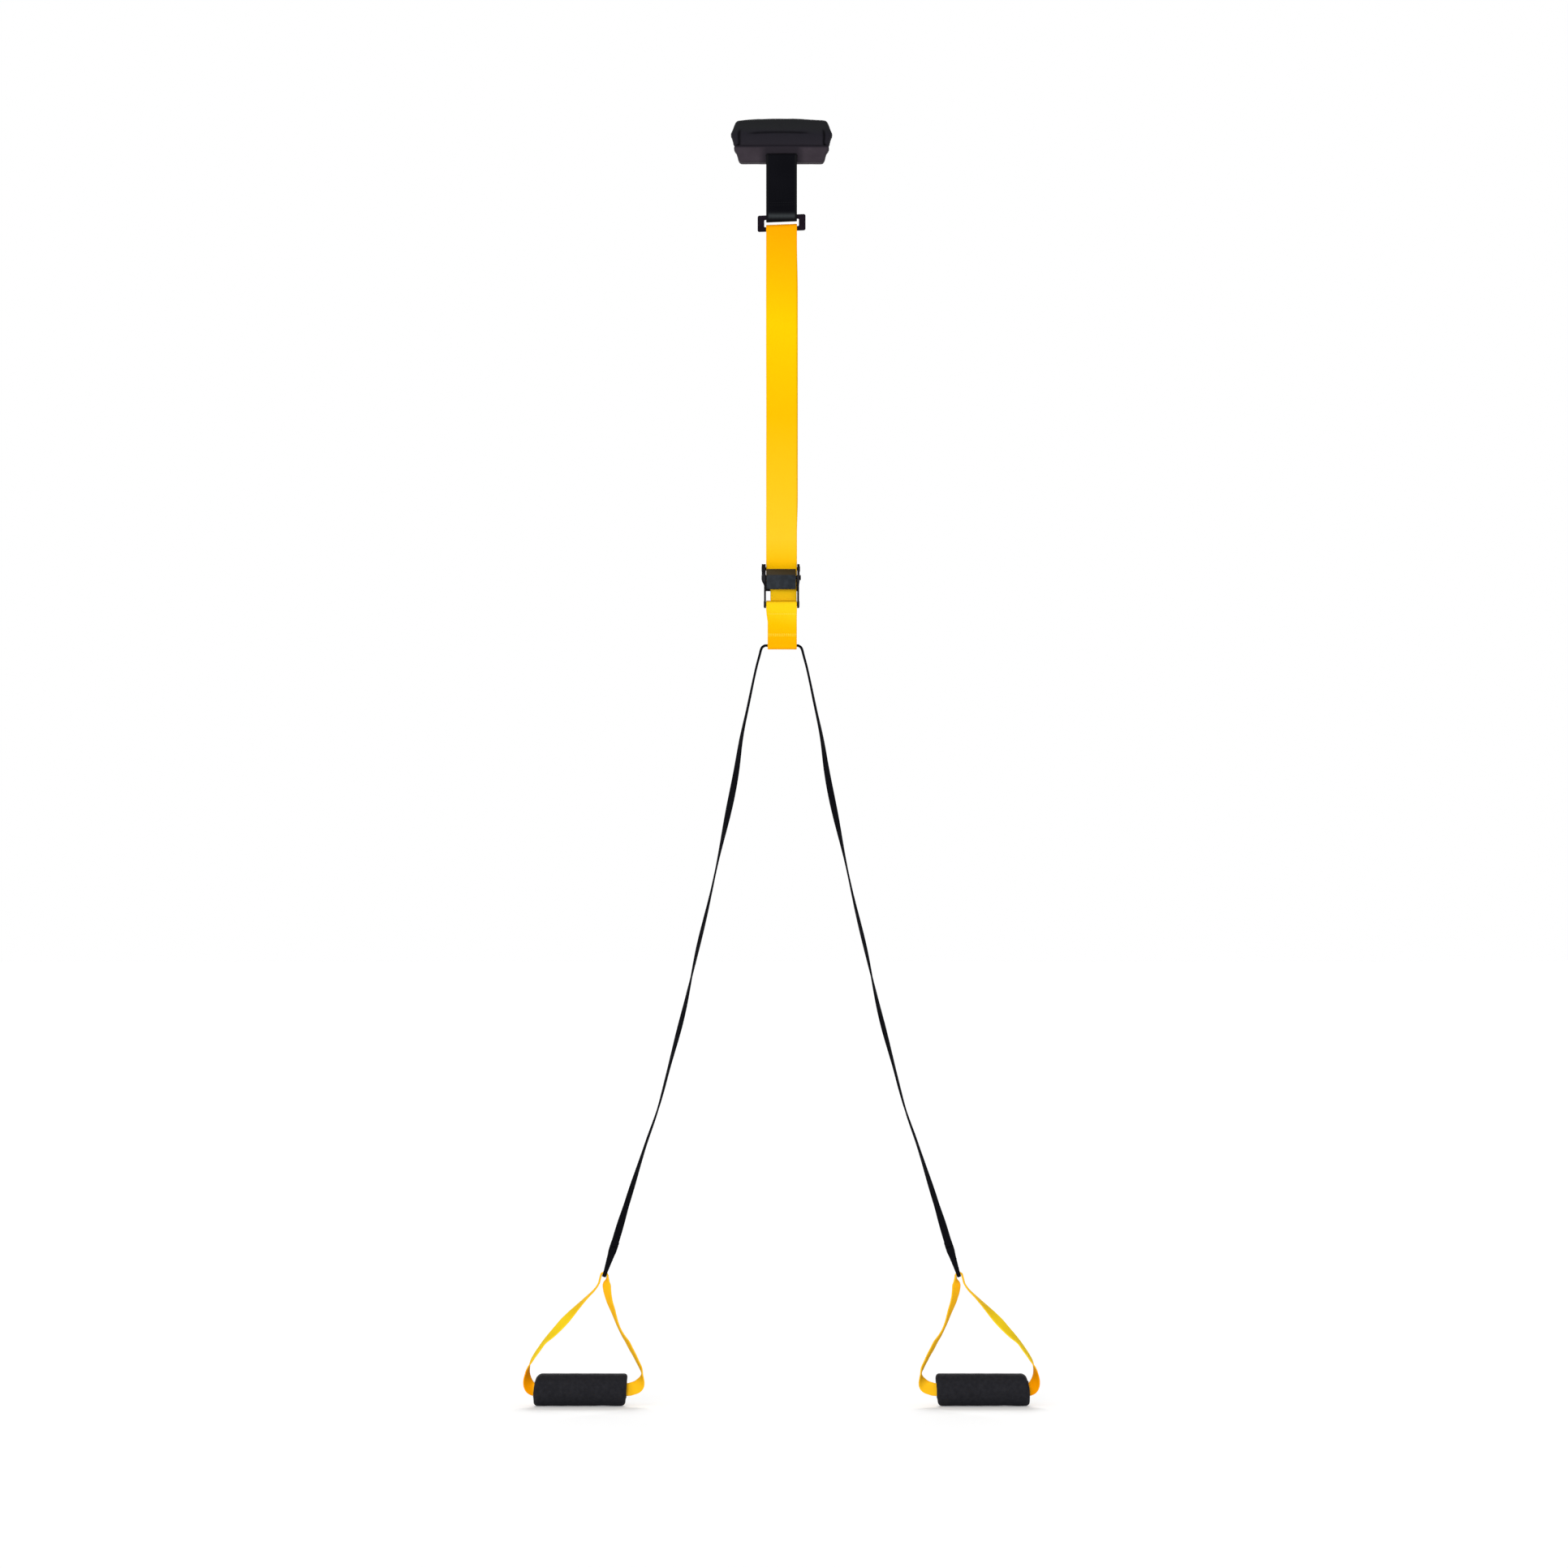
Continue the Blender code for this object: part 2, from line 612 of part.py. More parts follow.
def pad_cover(name, front):
    """One half of the fabric cover: a shell that is open at the seam half way back."""
    shell = pad_block(name, 0.0)
    cut(shell, pad_block(name + " lining cutter", PAD_SKIN))
    seam = PAD_DEPTH / 2 + (-SEAT_GAP / 2 if front else SEAT_GAP / 2)
    far = PAD_DEPTH + CUT_OVERRUN if front else -CUT_OVERRUN
    reach = PAD_WIDTH / 2 + CUT_OVERRUN
    cut(shell, box_cutter(name + " half cutter",
                          (-reach, min(seam, far), PAD_WAIST - CUT_OVERRUN),
                          (reach, max(seam, far), PAD_TOP + CUT_OVERRUN)))
    return finished(shell, black_fabric())


def strap_root_outline(grow):
    """Side outline of the strap end in the lower block, grown all round to cut its pocket."""
    rod_y = PAD_DEPTH / 2
    eye_outer = ROD_RADIUS + SEAT_GAP + WEB_THICKNESS + grow
    half = ANCHOR_HALF + grow
    neck_reach = ROOT_NECK + grow
    distance = math.hypot(half, neck_reach)
    tangent = math.atan2(half, neck_reach) + math.acos(eye_outer / distance)
    outline = arc((rod_y, EXIT_Z), eye_outer, -math.pi + tangent, math.pi - tangent)
    front_end = -CUT_OVERRUN if grow else EXIT_AXIS_Y + ANCHOR_HALF + SEAT_GAP
    outline += [(rod_y - neck_reach, EXIT_Z + half), (front_end, EXIT_Z + half),
                (front_end, EXIT_Z - half), (rod_y - neck_reach, EXIT_Z - half)]
    return outline


def door_anchor():
    """Cover halves, foam core, lower block, core rod and the strap end sewn round the rod."""
    pad_cover("anchor_cover_front", True)
    pad_cover("anchor_cover_rear", False)
    finished(pad_block("anchor_foam_core", PAD_SKIN + SEAT_GAP), grey_foam())

    base = base_block("anchor_base")
    rod_y = PAD_DEPTH / 2
    cut(base, side_plate("strap pocket cutter", [strap_root_outline(SEAT_GAP)],
                         WEB_WIDTH + 2 * SEAT_GAP))
    cut(base, rod_cutter("rod cutter", ROD_RADIUS + SEAT_GAP, ROD_SPAN + 2 * SEAT_GAP, rod_y, EXIT_Z))
    finished(base, black_foam())

    half_span = ROD_SPAN / 2
    rod = turned("anchor_core_rod",
                 [(0, half_span), (ROD_RADIUS, half_span), (ROD_RADIUS, -half_span), (0, -half_span)],
                 (0, rod_y, EXIT_Z), ALONG_X, PIN_STEPS)
    finished(rod, black_plastic())

    hole = arc((rod_y, EXIT_Z), ROD_RADIUS + SEAT_GAP, 0, 2 * math.pi)[:-1]
    finished(side_plate("anchor_strap_root", [strap_root_outline(0.0), hole], WEB_WIDTH),
             black_webbing())


def anchor_strap():
    """The doubled strap below the pad, sewn to an eye round the ring's upper bar."""
    centre = (EXIT_AXIS_Y, RING_UPPER_BAR_Z)
    outer = arc((EXIT_AXIS_Y, EXIT_Z), ANCHOR_HALF, 0, math.pi)
    outer.append((EXIT_AXIS_Y - ANCHOR_HALF, RING_UPPER_BAR_Z + ANCHOR_NECK))
    outer += eye_arc(centre, EYE_INNER + WEB_THICKNESS, ANCHOR_HALF, ANCHOR_NECK, True)
    outer.append((EXIT_AXIS_Y + ANCHOR_HALF, RING_UPPER_BAR_Z + ANCHOR_NECK))
    hole = teardrop(centre, EYE_INNER, ANCHOR_NECK - WEB_THICKNESS, True)
    finished(side_plate("anchor_strap", [outer, hole], WEB_WIDTH), black_webbing())


def anchor_ring():
    """A flat ring with square ends and one slot that both straps share."""
    half = RING_WIDTH / 2
    slot = RING_SLOT_WIDTH / 2
    low = RING_TOP - RING_HEIGHT
    outer = rounded([(half, low), (half, RING_TOP), (-half, RING_TOP), (-half, low)], RING_CORNER)
    inner_low = low + RING_BAR
    inner_top = RING_TOP - RING_BAR
    inner = rounded([(slot, inner_low), (slot, inner_top), (-slot, inner_top), (-slot, inner_low)],
                    RING_CORNER / 2)
    ring = front_plate("anchor_ring", [outer, inner], RING_DEPTH, EXIT_AXIS_Y)
    finished(ring, black_steel())


def strap_front_path():
    """The front layer: rear stub, over the ring's lower bar, and down through the buckle."""
    centre = (EXIT_AXIS_Y, RING_LOWER_BAR_Z)
    neck_z = RING_LOWER_BAR_Z - EYE_NECK
    half = (WEB_THICKNESS + LAYER_GAP) / 2
    over = eye_arc(centre, EYE_MIDDLE, half, EYE_NECK, False)
    path = [(REAR_LAYER_Y, neck_z - WEB_THICKNESS), (REAR_LAYER_Y, neck_z)] + over
    path += [(FRONT_LAYER_Y, neck_z), (FRONT_LAYER_Y, neck_z - WEB_THICKNESS)]
    path.append((FRONT_LAYER_Y, BUCKLE_TOP - TAIL_LENGTH))
    return path


def main_strap():
    """The adjusting strap: its front layer and tail in one piece, its rear layer in another."""
    outline = band_outline(strap_front_path(), WEB_THICKNESS)
    finished(side_plate("main_strap", [outline], WEB_WIDTH), yellow_webbing())

    top = RING_LOWER_BAR_Z - EYE_NECK - WEB_THICKNESS - SEAT_GAP
    centre = (UPPER_BAR_Y, UPPER_BAR_Z)
    neck_z = UPPER_BAR_Z + REAR_NECK
    under = arc(centre, REAR_EYE_MIDDLE, math.pi, 2 * math.pi)
    back_y = REAR_LAYER_Y + WEB_THICKNESS + SEAT_GAP
    path = [(REAR_LAYER_Y, top)] + under
    path += [(back_y, neck_z), (back_y, neck_z + REAR_RETURN)]
    outline = band_outline(path, WEB_THICKNESS)
    finished(side_plate("main_strap_rear", [outline], WEB_WIDTH), yellow_webbing())


def riveted_pin(name, radius, y, z, look, outer_half):
    """A pin across the buckle with a rivet head outside each cheek."""
    head = radius * HEAD_RADIUS_SHARE
    inside = outer_half + SEAT_GAP
    end = inside + HEAD_THICKNESS
    crown = HEAD_THICKNESS / 2
    profile = [(0, end), (head - crown, end), (head, end - crown), (head, inside), (radius, inside),
               (radius, -inside), (head, -inside), (head, crown - end), (head - crown, -end), (0, -end)]
    return finished(turned(name, profile, (0, y, z), ALONG_X, PIN_STEPS), look)


def cheek_outline():
    """Side outline of a buckle cheek, in y and z."""
    back = UPPER_BAR_Y + REAR_EYE_MIDDLE + WEB_THICKNESS
    front = CAM_PIN_Y - LEVER_FORWARD
    foot_half = LOOP_EYE_OUTER
    waist = BUCKLE_BOTTOM + BUCKLE_HEIGHT / 3
    corners = [
        (back, BUCKLE_TOP), (front / 2, BUCKLE_TOP), (front, CAM_PIN_Z + LEVER_RISE / 2),
        (front, CAM_PIN_Z - LEVER_RISE / 2), (LOWER_PLANE_Y - foot_half, waist),
        (LOWER_PLANE_Y - foot_half, BUCKLE_BOTTOM), (LOWER_PLANE_Y + foot_half, BUCKLE_BOTTOM),
        (back / 2, waist), (back, UPPER_BAR_Z - UPPER_BAR_DROP),
    ]
    return rounded(corners[::-1], CHEEK_ROUND)


def buckle_frame():
    """Two cheeks joined by the press plate behind the front layer, with holes for its pins."""
    cheek_x = (CHEEK_GAP + CHEEK_SHEET) / 2
    frame = side_plate("buckle_frame", [cheek_outline()], CHEEK_SHEET, cheek_x)
    cut(frame, side_plate("left cheek", [cheek_outline()], CHEEK_SHEET, -cheek_x), "UNION")
    press_front = FRONT_LAYER_Y + WEB_THICKNESS / 2 + SEAT_GAP
    press_top = BUCKLE_TOP - PRESS_DROP
    cut(frame, box_cutter("press plate", (-cheek_x, press_front, press_top - PRESS_HEIGHT),
                          (cheek_x, press_front + PRESS_SHEET, press_top)), "UNION")
    pin_span = CHEEK_GAP + 2 * CHEEK_SHEET + 2 * CUT_OVERRUN
    for label, radius, y, z in (
            ("upper bar hole", UPPER_BAR_RADIUS, UPPER_BAR_Y, UPPER_BAR_Z),
            ("lower bar hole", LOWER_BAR_RADIUS, LOWER_PLANE_Y, LOWER_BAR_Z),
            ("cam pin hole", CAM_PIN_RADIUS, CAM_PIN_Y, CAM_PIN_Z)):
        cut(frame, rod_cutter(label, radius + SEAT_GAP, pin_span, y, z))
    finished(frame, black_steel())


def buckle_pins():
    """The two cross bars and the cam's pin."""
    outer_half = CHEEK_GAP / 2 + CHEEK_SHEET
    riveted_pin("buckle_upper_bar", UPPER_BAR_RADIUS, UPPER_BAR_Y, UPPER_BAR_Z, black_steel(), outer_half)
    riveted_pin("buckle_lower_bar", LOWER_BAR_RADIUS, LOWER_PLANE_Y, LOWER_BAR_Z, black_steel(), outer_half)
    riveted_pin("cam_pin", CAM_PIN_RADIUS, CAM_PIN_Y, CAM_PIN_Z, black_steel(), outer_half)


def cam_lever():
    """The thumb lever: a plate in front, and a toothed cam round the pin."""
    tip = CAM_PIN_FORWARD - SEAT_GAP
    centre = (CAM_PIN_Y, CAM_PIN_Z)
    face = CAM_PIN_Y - LEVER_FORWARD
    teeth = []
    steps = 2 * CAM_TEETH
    for s in range(steps + 1):
        angle = CAM_SECTOR * (s / steps - CAM_SECTOR_BELOW_SHARE)
        radius = tip - (CAM_TOOTH if s % 2 else 0)
        teeth.append((centre[0] + radius * math.cos(angle), centre[1] + radius * math.sin(angle)))
    relief = arc(centre, CAM_RELIEF, *CAM_UPPER_RELIEF)
    low = CAM_PIN_Z - LEVER_FALL
    high = CAM_PIN_Z + LEVER_RISE
    front = [(face + LEVER_SHEET, high - LEVER_SHEET), (face + LEVER_SHEET / 2, high),
             (face, high - LEVER_SHEET / 2), (face - LEVER_KICK / 4, CAM_PIN_Z),
             (face - LEVER_KICK, low + LEVER_SHEET / 2), (face - LEVER_KICK + LEVER_SHEET / 3, low),
             (face - LEVER_KICK + LEVER_SHEET, low + LEVER_SHEET / 3),
             (face + LEVER_SHEET, CAM_PIN_Z - CAM_RELIEF)]
    under = arc(centre, CAM_RELIEF, *CAM_LOWER_RELIEF)
    hole = arc(centre, CAM_PIN_RADIUS + SEAT_GAP, 0, 2 * math.pi)[:-1]
    lever = side_plate("cam_lever", [teeth + relief + front + under, hole], LEVER_WIDTH)
    slot_half = SPRING_TURNS * SPRING_PITCH / 2 + SPRING_SIDE_PLAY
    back = CAM_PIN_Y + tip + CUT_OVERRUN
    cut(lever, box_cutter("spring slot cutter",
                          (-slot_half, face + LEVER_SHEET, CAM_PIN_Z - 2 * CAM_RELIEF),
                          (slot_half, back, CAM_PIN_Z + 2 * CAM_RELIEF)))
    finished(lever, black_steel())


def cam_spring():
    """The torsion spring round the cam's pin, in the slot at the middle of the lever."""
    mean = CAM_PIN_RADIUS + SEAT_GAP + SPRING_WIRE / 2
    span = SPRING_TURNS * SPRING_PITCH
    count = SPRING_TURNS * SPRING_POINTS
    data = bpy.data.curves.new("cam_spring", "CURVE")
    data.dimensions = "3D"
    data.bevel_depth = SPRING_WIRE / 2
    data.bevel_resolution = 1
    data.use_fill_caps = True
    points = []
    for k in range(count + 1):
        angle = 2 * math.pi * k / SPRING_POINTS
        points.append((span * (k / count - 0.5), CAM_PIN_Y + mean * math.cos(angle),
                       CAM_PIN_Z + mean * math.sin(angle)))
    least = min((Vector(points[k]) - Vector(points[k + SPRING_POINTS])).length
                for k in range(count + 1 - SPRING_POINTS)) - SPRING_WIRE
    print("least gap between the spring's turns, mm:", round(least / MM, 2))
    leg = Vector((0, 0, -CAM_RELIEF))
    points.append(tuple(Vector(points[-1]) + leg))
    points.insert(0, tuple(Vector(points[0]) + leg))
    spline = data.splines.new("POLY")
    spline.points.add(len(points) - 1)
    for point, place in zip(spline.points, points):
        point.co = (*place, 1)
    spring = mesh_from_curve(bpy.data.objects.new("cam_spring", data))
    finished(spring, bright_steel())


def lower_loop():
    """The sewn loop from the buckle's lower bar to the fold that carries the black strap."""
    bar = (LOWER_PLANE_Y, LOWER_BAR_Z)
    fold = (LOWER_PLANE_Y, FOLD_Z)
    upper_neck = (LOWER_BAR_Z - LOOP_NECK_UPPER)
    lower_neck = (FOLD_Z + LOOP_NECK_LOWER)
    outer = eye_arc(bar, LOOP_EYE_OUTER, LOOP_LAYER, LOOP_NECK_UPPER, False)
    outer += [(LOWER_PLANE_Y - LOOP_LAYER, upper_neck), (LOWER_PLANE_Y - LOOP_LAYER, lower_neck)]
    outer += eye_arc(fold, FOLD_OUTER, LOOP_LAYER, LOOP_NECK_LOWER, True)
    outer += [(LOWER_PLANE_Y + LOOP_LAYER, lower_neck), (LOWER_PLANE_Y + LOOP_LAYER, upper_neck)]
    bar_hole = teardrop(bar, LOWER_BAR_RADIUS + BAR_CLEARANCE, LOOP_NECK_UPPER - LOOP_LAYER, False)
    fold_hole = teardrop(fold, FOLD_INNER, LOOP_NECK_LOWER - LOOP_LAYER, True)
    finished(side_plate("lower_loop", [outer, bar_hole, fold_hole], WEB_WIDTH), yellow_webbing())


def strap_bight():
    """The middle of the black strap, where it lies in the fold of the lower loop."""
    stations = [(Vector((x, LOWER_PLANE_Y, FOLD_Z)), Vector((0, 1, 0)), BIGHT_WIDTH, BIGHT_THICKNESS)
                for x in (-BIGHT_END_X, 0.0, BIGHT_END_X)]
    finished(webbing("strap_bight", stations), black_webbing())


def leg_strap(name, side):
    """One leg of the black strap, ending in a sewn fold that carries a handle loop."""
    points = [(LEG_HINGE_X + LEG_REACH * reach_share, 0.0, FOLD_Z - LEG_DROP * drop_share)
              for reach_share, drop_share in LEG_ROUTE_SHARES]
    route = smooth_route(points, LEG_STATIONS)
    end = Vector(route[-1])
    down = (end - Vector(route[-1 - LEG_END_STATIONS])).normalized()
    back = Vector((0, 1, 0))
    lean_start, lean_end = LEG_LEAN_SHARES
    stations = []
    for k, place in enumerate(route[:-LEG_END_STATIONS]):
        share = k / LEG_STATIONS
        turn = math.radians(table_value(LEG_TURN_SHARES, share))
        ahead = (Vector(route[k + 1]) - Vector(route[max(k - 1, 0)])).normalized()
        across = Matrix.Rotation(turn, 3, ahead) @ back
        grow = min(share / LEG_TAPER_SHARE, 1.0)
        width = BIGHT_WIDTH + (STRAP_WIDTH - BIGHT_WIDTH) * grow
        thickness = BIGHT_THICKNESS + (STRAP_THICKNESS - BIGHT_THICKNESS) * grow
        if k == 0:
            width *= LEG_TIP_WIDTH_SHARE
            thickness *= LEG_TIP_THICKNESS_SHARE
        lean = min(max((share - lean_start) / (lean_end - lean_start), 0.0), 1.0)
        offset = -back * (STRAP_THICKNESS + SEAT_GAP) / 2 * lean
        stations.append((Vector(place) + offset, across, width, thickness))
    flat = down.cross(back).normalized()
    bottom = end - down * END_FOLD_RADIUS
    for s in range(END_FOLD_STEPS + 1):
        angle = math.pi * s / END_FOLD_STEPS
        aside = math.copysign(abs(math.cos(angle)) ** END_FOLD_SHAPE, -math.cos(angle))
        below = math.sin(angle) ** END_FOLD_SHAPE
        middle = bottom + (back * aside + down * below) * END_FOLD_RADIUS
        stations.append((middle, flat, END_FOLD_WIDTH, END_FOLD_THICKNESS))
    layer = back * (STRAP_THICKNESS + SEAT_GAP) / 2
    for up_share, width_share in END_RETURN_SHARES:
        middle = bottom - down * END_RETURN * up_share + layer
        stations.append((middle, flat, STRAP_WIDTH * width_share, STRAP_THICKNESS))
    placed = []
    for middle, across, width, thickness in stations:
        middle = Vector((side * middle.x, middle.y + LOWER_PLANE_Y, middle.z))
        across = Vector((side * across.x, across.y, across.z))
        placed.append((middle, across, width, thickness))
    finished(webbing(name, placed), black_webbing())


def handle_loop(name, side):
    """A closed loop of yellow webbing over the black strap's fold and through the grip."""
    ring = APEX_INNER + APEX_THICKNESS / 2
    points = []
    for s in range(APEX_ARC_POINTS):
        angle = APEX_START + (APEX_END - APEX_START) * s / (APEX_ARC_POINTS - 1)
        points.append((APEX_X + ring * math.cos(angle), 0.0, APEX_Z + ring * math.sin(angle),
                       0.0, 1.0, 0.0, 0.0))
    branch = [points[-1]]
    last = len(HANDLE_ROUTE_SHARES) - 1
    for k, (drop_share, spread_share, across) in enumerate(HANDLE_ROUTE_SHARES):
        x = APEX_X + HANDLE_OUTSET * drop_share + GRIP_LENGTH / 2 * spread_share
        z = APEX_Z - HANDLE_DROP * drop_share
        grow = HANDLE_GROW_SHARES[min(k, last - k, len(HANDLE_GROW_SHARES) - 1)]
        branch.append((x, 0.0, z, *Vector(across).normalized(), grow))
    branch.append(points[0])
    points += smooth_route(branch, HANDLE_STATIONS)[1:-1]
    stations = []
    for x, y, z, across_x, across_y, across_z, grow in points:
        grow = min(max(grow, 0.0), 1.0)
        width = APEX_WIDTH + (HANDLE_WEB_WIDTH - APEX_WIDTH) * grow
        thickness = APEX_THICKNESS + (HANDLE_WEB_THICKNESS - APEX_THICKNESS) * grow
        stations.append((Vector((side * x, y + LOWER_PLANE_Y, z)),
                         Vector((side * across_x, across_y, across_z)), width, thickness))
    finished(webbing(name, stations, closed=True), yellow_webbing())


def grip(side_name, side):
    """A plastic tube that turns on the handle loop, and its foam sleeve."""
    place = (side * GRIP_CENTRE_X, LOWER_PLANE_Y, GRIP_CENTRE_Z)
    half = GRIP_LENGTH / 2
    tube_half = half - TUBE_INSET
    tube = turned(side_name + "_grip_tube",
                  [(TUBE_OUTER, tube_half), (TUBE_OUTER, -tube_half), (TUBE_INNER, -tube_half),
                   (TUBE_INNER, tube_half)], place, ALONG_X, GRIP_STEPS)
    finished(tube, black_plastic())
    bore = TUBE_OUTER + SEAT_GAP
    corner = arc((GRIP_RADIUS - GRIP_ROUND, half - GRIP_ROUND), GRIP_ROUND, math.pi / 2, 0)
    foot = [(radius, -height) for radius, height in corner[::-1]]
    sleeve = turned(side_name + "_grip_foam", corner + foot + [(bore, -half), (bore, half)],
                    place, ALONG_X, GRIP_STEPS)
    finished(sleeve, black_foam())


def build():
    door_anchor()
    anchor_strap()
    anchor_ring()
    main_strap()
    buckle_frame()
    buckle_pins()
    cam_lever()
    cam_spring()
    lower_loop()
    strap_bight()
    for side_name, side in (("left", -1), ("right", 1)):
        leg_strap(side_name + "_leg_strap", side)
        handle_loop(side_name + "_handle_loop", side)
        grip(side_name, side)
    for obj in parts.objects:
        obj.data.shade_smooth()
        obj.data.set_sharp_from_angle(angle=SMOOTH_UNDER)


build()
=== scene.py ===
import math

import bmesh
import bpy
from mathutils import Matrix, Vector, noise
from mathutils.bvhtree import BVHTree


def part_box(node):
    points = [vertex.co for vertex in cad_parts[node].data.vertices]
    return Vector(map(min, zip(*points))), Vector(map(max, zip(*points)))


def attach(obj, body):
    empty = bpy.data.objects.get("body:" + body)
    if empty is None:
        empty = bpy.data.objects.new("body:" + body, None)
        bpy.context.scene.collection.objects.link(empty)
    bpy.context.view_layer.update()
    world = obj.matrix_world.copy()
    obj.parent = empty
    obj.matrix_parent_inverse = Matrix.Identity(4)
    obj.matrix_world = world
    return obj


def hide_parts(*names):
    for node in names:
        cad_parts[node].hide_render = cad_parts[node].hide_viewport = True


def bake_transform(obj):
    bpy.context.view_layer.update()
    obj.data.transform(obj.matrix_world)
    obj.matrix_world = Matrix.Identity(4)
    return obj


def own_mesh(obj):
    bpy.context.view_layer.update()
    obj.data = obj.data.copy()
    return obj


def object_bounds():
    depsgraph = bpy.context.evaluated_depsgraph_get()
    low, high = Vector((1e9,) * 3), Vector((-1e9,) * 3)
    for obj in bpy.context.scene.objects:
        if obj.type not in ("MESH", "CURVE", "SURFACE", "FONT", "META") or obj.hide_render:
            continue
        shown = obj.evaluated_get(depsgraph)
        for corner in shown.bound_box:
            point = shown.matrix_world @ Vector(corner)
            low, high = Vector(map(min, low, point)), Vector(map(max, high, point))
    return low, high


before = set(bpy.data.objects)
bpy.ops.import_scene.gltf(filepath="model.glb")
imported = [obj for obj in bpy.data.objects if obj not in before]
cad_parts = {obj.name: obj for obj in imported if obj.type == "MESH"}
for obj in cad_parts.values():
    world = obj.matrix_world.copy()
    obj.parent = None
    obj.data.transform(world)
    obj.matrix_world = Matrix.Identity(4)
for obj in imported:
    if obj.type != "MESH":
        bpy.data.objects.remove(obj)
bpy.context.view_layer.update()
mm = 0.001
xAxis = Vector((1, 0, 0))
yAxis = Vector((0, 1, 0))


# Camera: straight from the front through a long lens, as the trainer hangs.
camera = {"width": 1.932, "x": 0.003, "z": -0.794, "distance": 12.0, "sensor": 36}


def addCamera():
    data = bpy.data.cameras.new("frontCamera")
    data.sensor_width = camera["sensor"]
    data.lens = camera["sensor"] * camera["distance"] / camera["width"]
    data.clip_end = 100
    obj = bpy.data.objects.new("frontCamera", data)
    obj.location = (camera["x"], -camera["distance"], camera["z"])
    obj.rotation_euler = (math.pi / 2, 0, 0)
    bpy.context.scene.collection.objects.link(obj)
    bpy.context.scene.camera = obj


# Studio: white all round for the camera and in reflections, a soft dome as fill, a wide light from
# above and behind that draws the shadows forwards, one from above and one from the camera's side.
studio = {
    "dome": 0.40, "floorDrop": 0.4 * mm, "floorSize": 60, "floorColour": (0.95, 0.95, 0.95),
    "floorLift": 0.15,
    "suns": [("backSun", (-66, 0, 0), 2.9, 24), ("topSun", (60, 0, -20), 0.65, 40),
             ("frontSun", (84, 0, -6), 1.31, 14)],
}


# 1 for the rays in which the white background shows: straight ones, reflected and transmitted ones.
def whiteRays(tree):
    rays = tree.nodes.new("ShaderNodeLightPath")
    share = rays.outputs["Is Camera Ray"]
    for label in ("Is Glossy Ray", "Is Transmission Ray"):
        either = tree.nodes.new("ShaderNodeMath")
        either.operation = "MAXIMUM"
        tree.links.new(share, either.inputs[0])
        tree.links.new(rays.outputs[label], either.inputs[1])
        share = either.outputs[0]
    return share


def addSun(name, turn, strength, softness):
    data = bpy.data.lights.new(name, "SUN")
    data.energy = strength
    data.angle = math.radians(softness)
    obj = bpy.data.objects.new(name, data)
    obj.rotation_euler = [math.radians(a) for a in turn]
    bpy.context.scene.collection.objects.link(obj)


def addStudio():
    scene = bpy.context.scene
    scene.view_settings.view_transform = "Standard"
    world = bpy.data.worlds.new("studioWorld")
    world.use_nodes = True
    scene.world = world
    tree = world.node_tree
    tree.nodes.clear()
    output = tree.nodes.new("ShaderNodeOutputWorld")
    dome = tree.nodes.new("ShaderNodeBackground")
    dome.inputs["Strength"].default_value = studio["dome"]
    white = tree.nodes.new("ShaderNodeBackground")
    for shader in (dome, white):
        shader.inputs["Color"].default_value = (1, 1, 1, 1)
    seen = tree.nodes.new("ShaderNodeMixShader")
    for k, source in enumerate((whiteRays(tree), dome.outputs[0], white.outputs[0])):
        tree.links.new(source, seen.inputs[k])
    tree.links.new(seen.outputs[0], output.inputs["Surface"])
    for sun in studio["suns"]:
        addSun(*sun)


def addFloor():
    size = studio["floorSize"] / 2
    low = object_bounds()[0].z - studio["floorDrop"]
    mesh = bpy.data.meshes.new("floor")
    corners = [(-size, -size, low), (size, -size, low), (size, size, low), (-size, size, low)]
    mesh.from_pydata(corners, [], [(0, 1, 2, 3)])
    floor = bpy.data.objects.new("floor", mesh)
    bpy.context.scene.collection.objects.link(floor)
    made = bpy.data.materials.new("floorPaper")
    made.use_nodes = True
    tree = made.node_tree
    tree.nodes.clear()
    output = tree.nodes.new("ShaderNodeOutputMaterial")
    paper = tree.nodes.new("ShaderNodeBsdfDiffuse")
    paper.inputs["Color"].default_value = (*studio["floorColour"], 1)
    lift = tree.nodes.new("ShaderNodeEmission")
    strength = tree.nodes.new("ShaderNodeMath")
    strength.operation = "MULTIPLY"
    strength.inputs[1].default_value = studio["floorLift"]
    both = tree.nodes.new("ShaderNodeAddShader")
    tree.links.new(whiteRays(tree), strength.inputs[0])
    tree.links.new(strength.outputs[0], lift.inputs["Strength"])
    tree.links.new(paper.outputs[0], both.inputs[0])
    tree.links.new(lift.outputs[0], both.inputs[1])
    tree.links.new(both.outputs[0], output.inputs["Surface"])
    floor.data.materials.append(made)


addCamera()
addStudio()
addFloor()
print("camera, lights and floor")


# Materials. A pattern on webbing reads the piece's UV map, which is in millimetres: U across
# the webbing and V along it.
def newMaterial(name, colour, roughness, **sockets):
    made = bpy.data.materials.new(name)
    made.use_nodes = True
    shader = made.node_tree.nodes["Principled BSDF"]
    shader.inputs["Base Color"].default_value = (*colour, 1)
    shader.inputs["Roughness"].default_value = roughness
    for socket, value in sockets.items():
        shader.inputs[socket.replace("_", " ")].default_value = value
    return made, made.node_tree, shader


def mathNode(tree, operation, *values):
    node = tree.nodes.new("ShaderNodeMath")
    node.operation = operation
    for k, value in enumerate(values):
        if isinstance(value, (int, float)):
            node.inputs[k].default_value = value
        else:
            tree.links.new(value, node.inputs[k])
    return node.outputs[0]


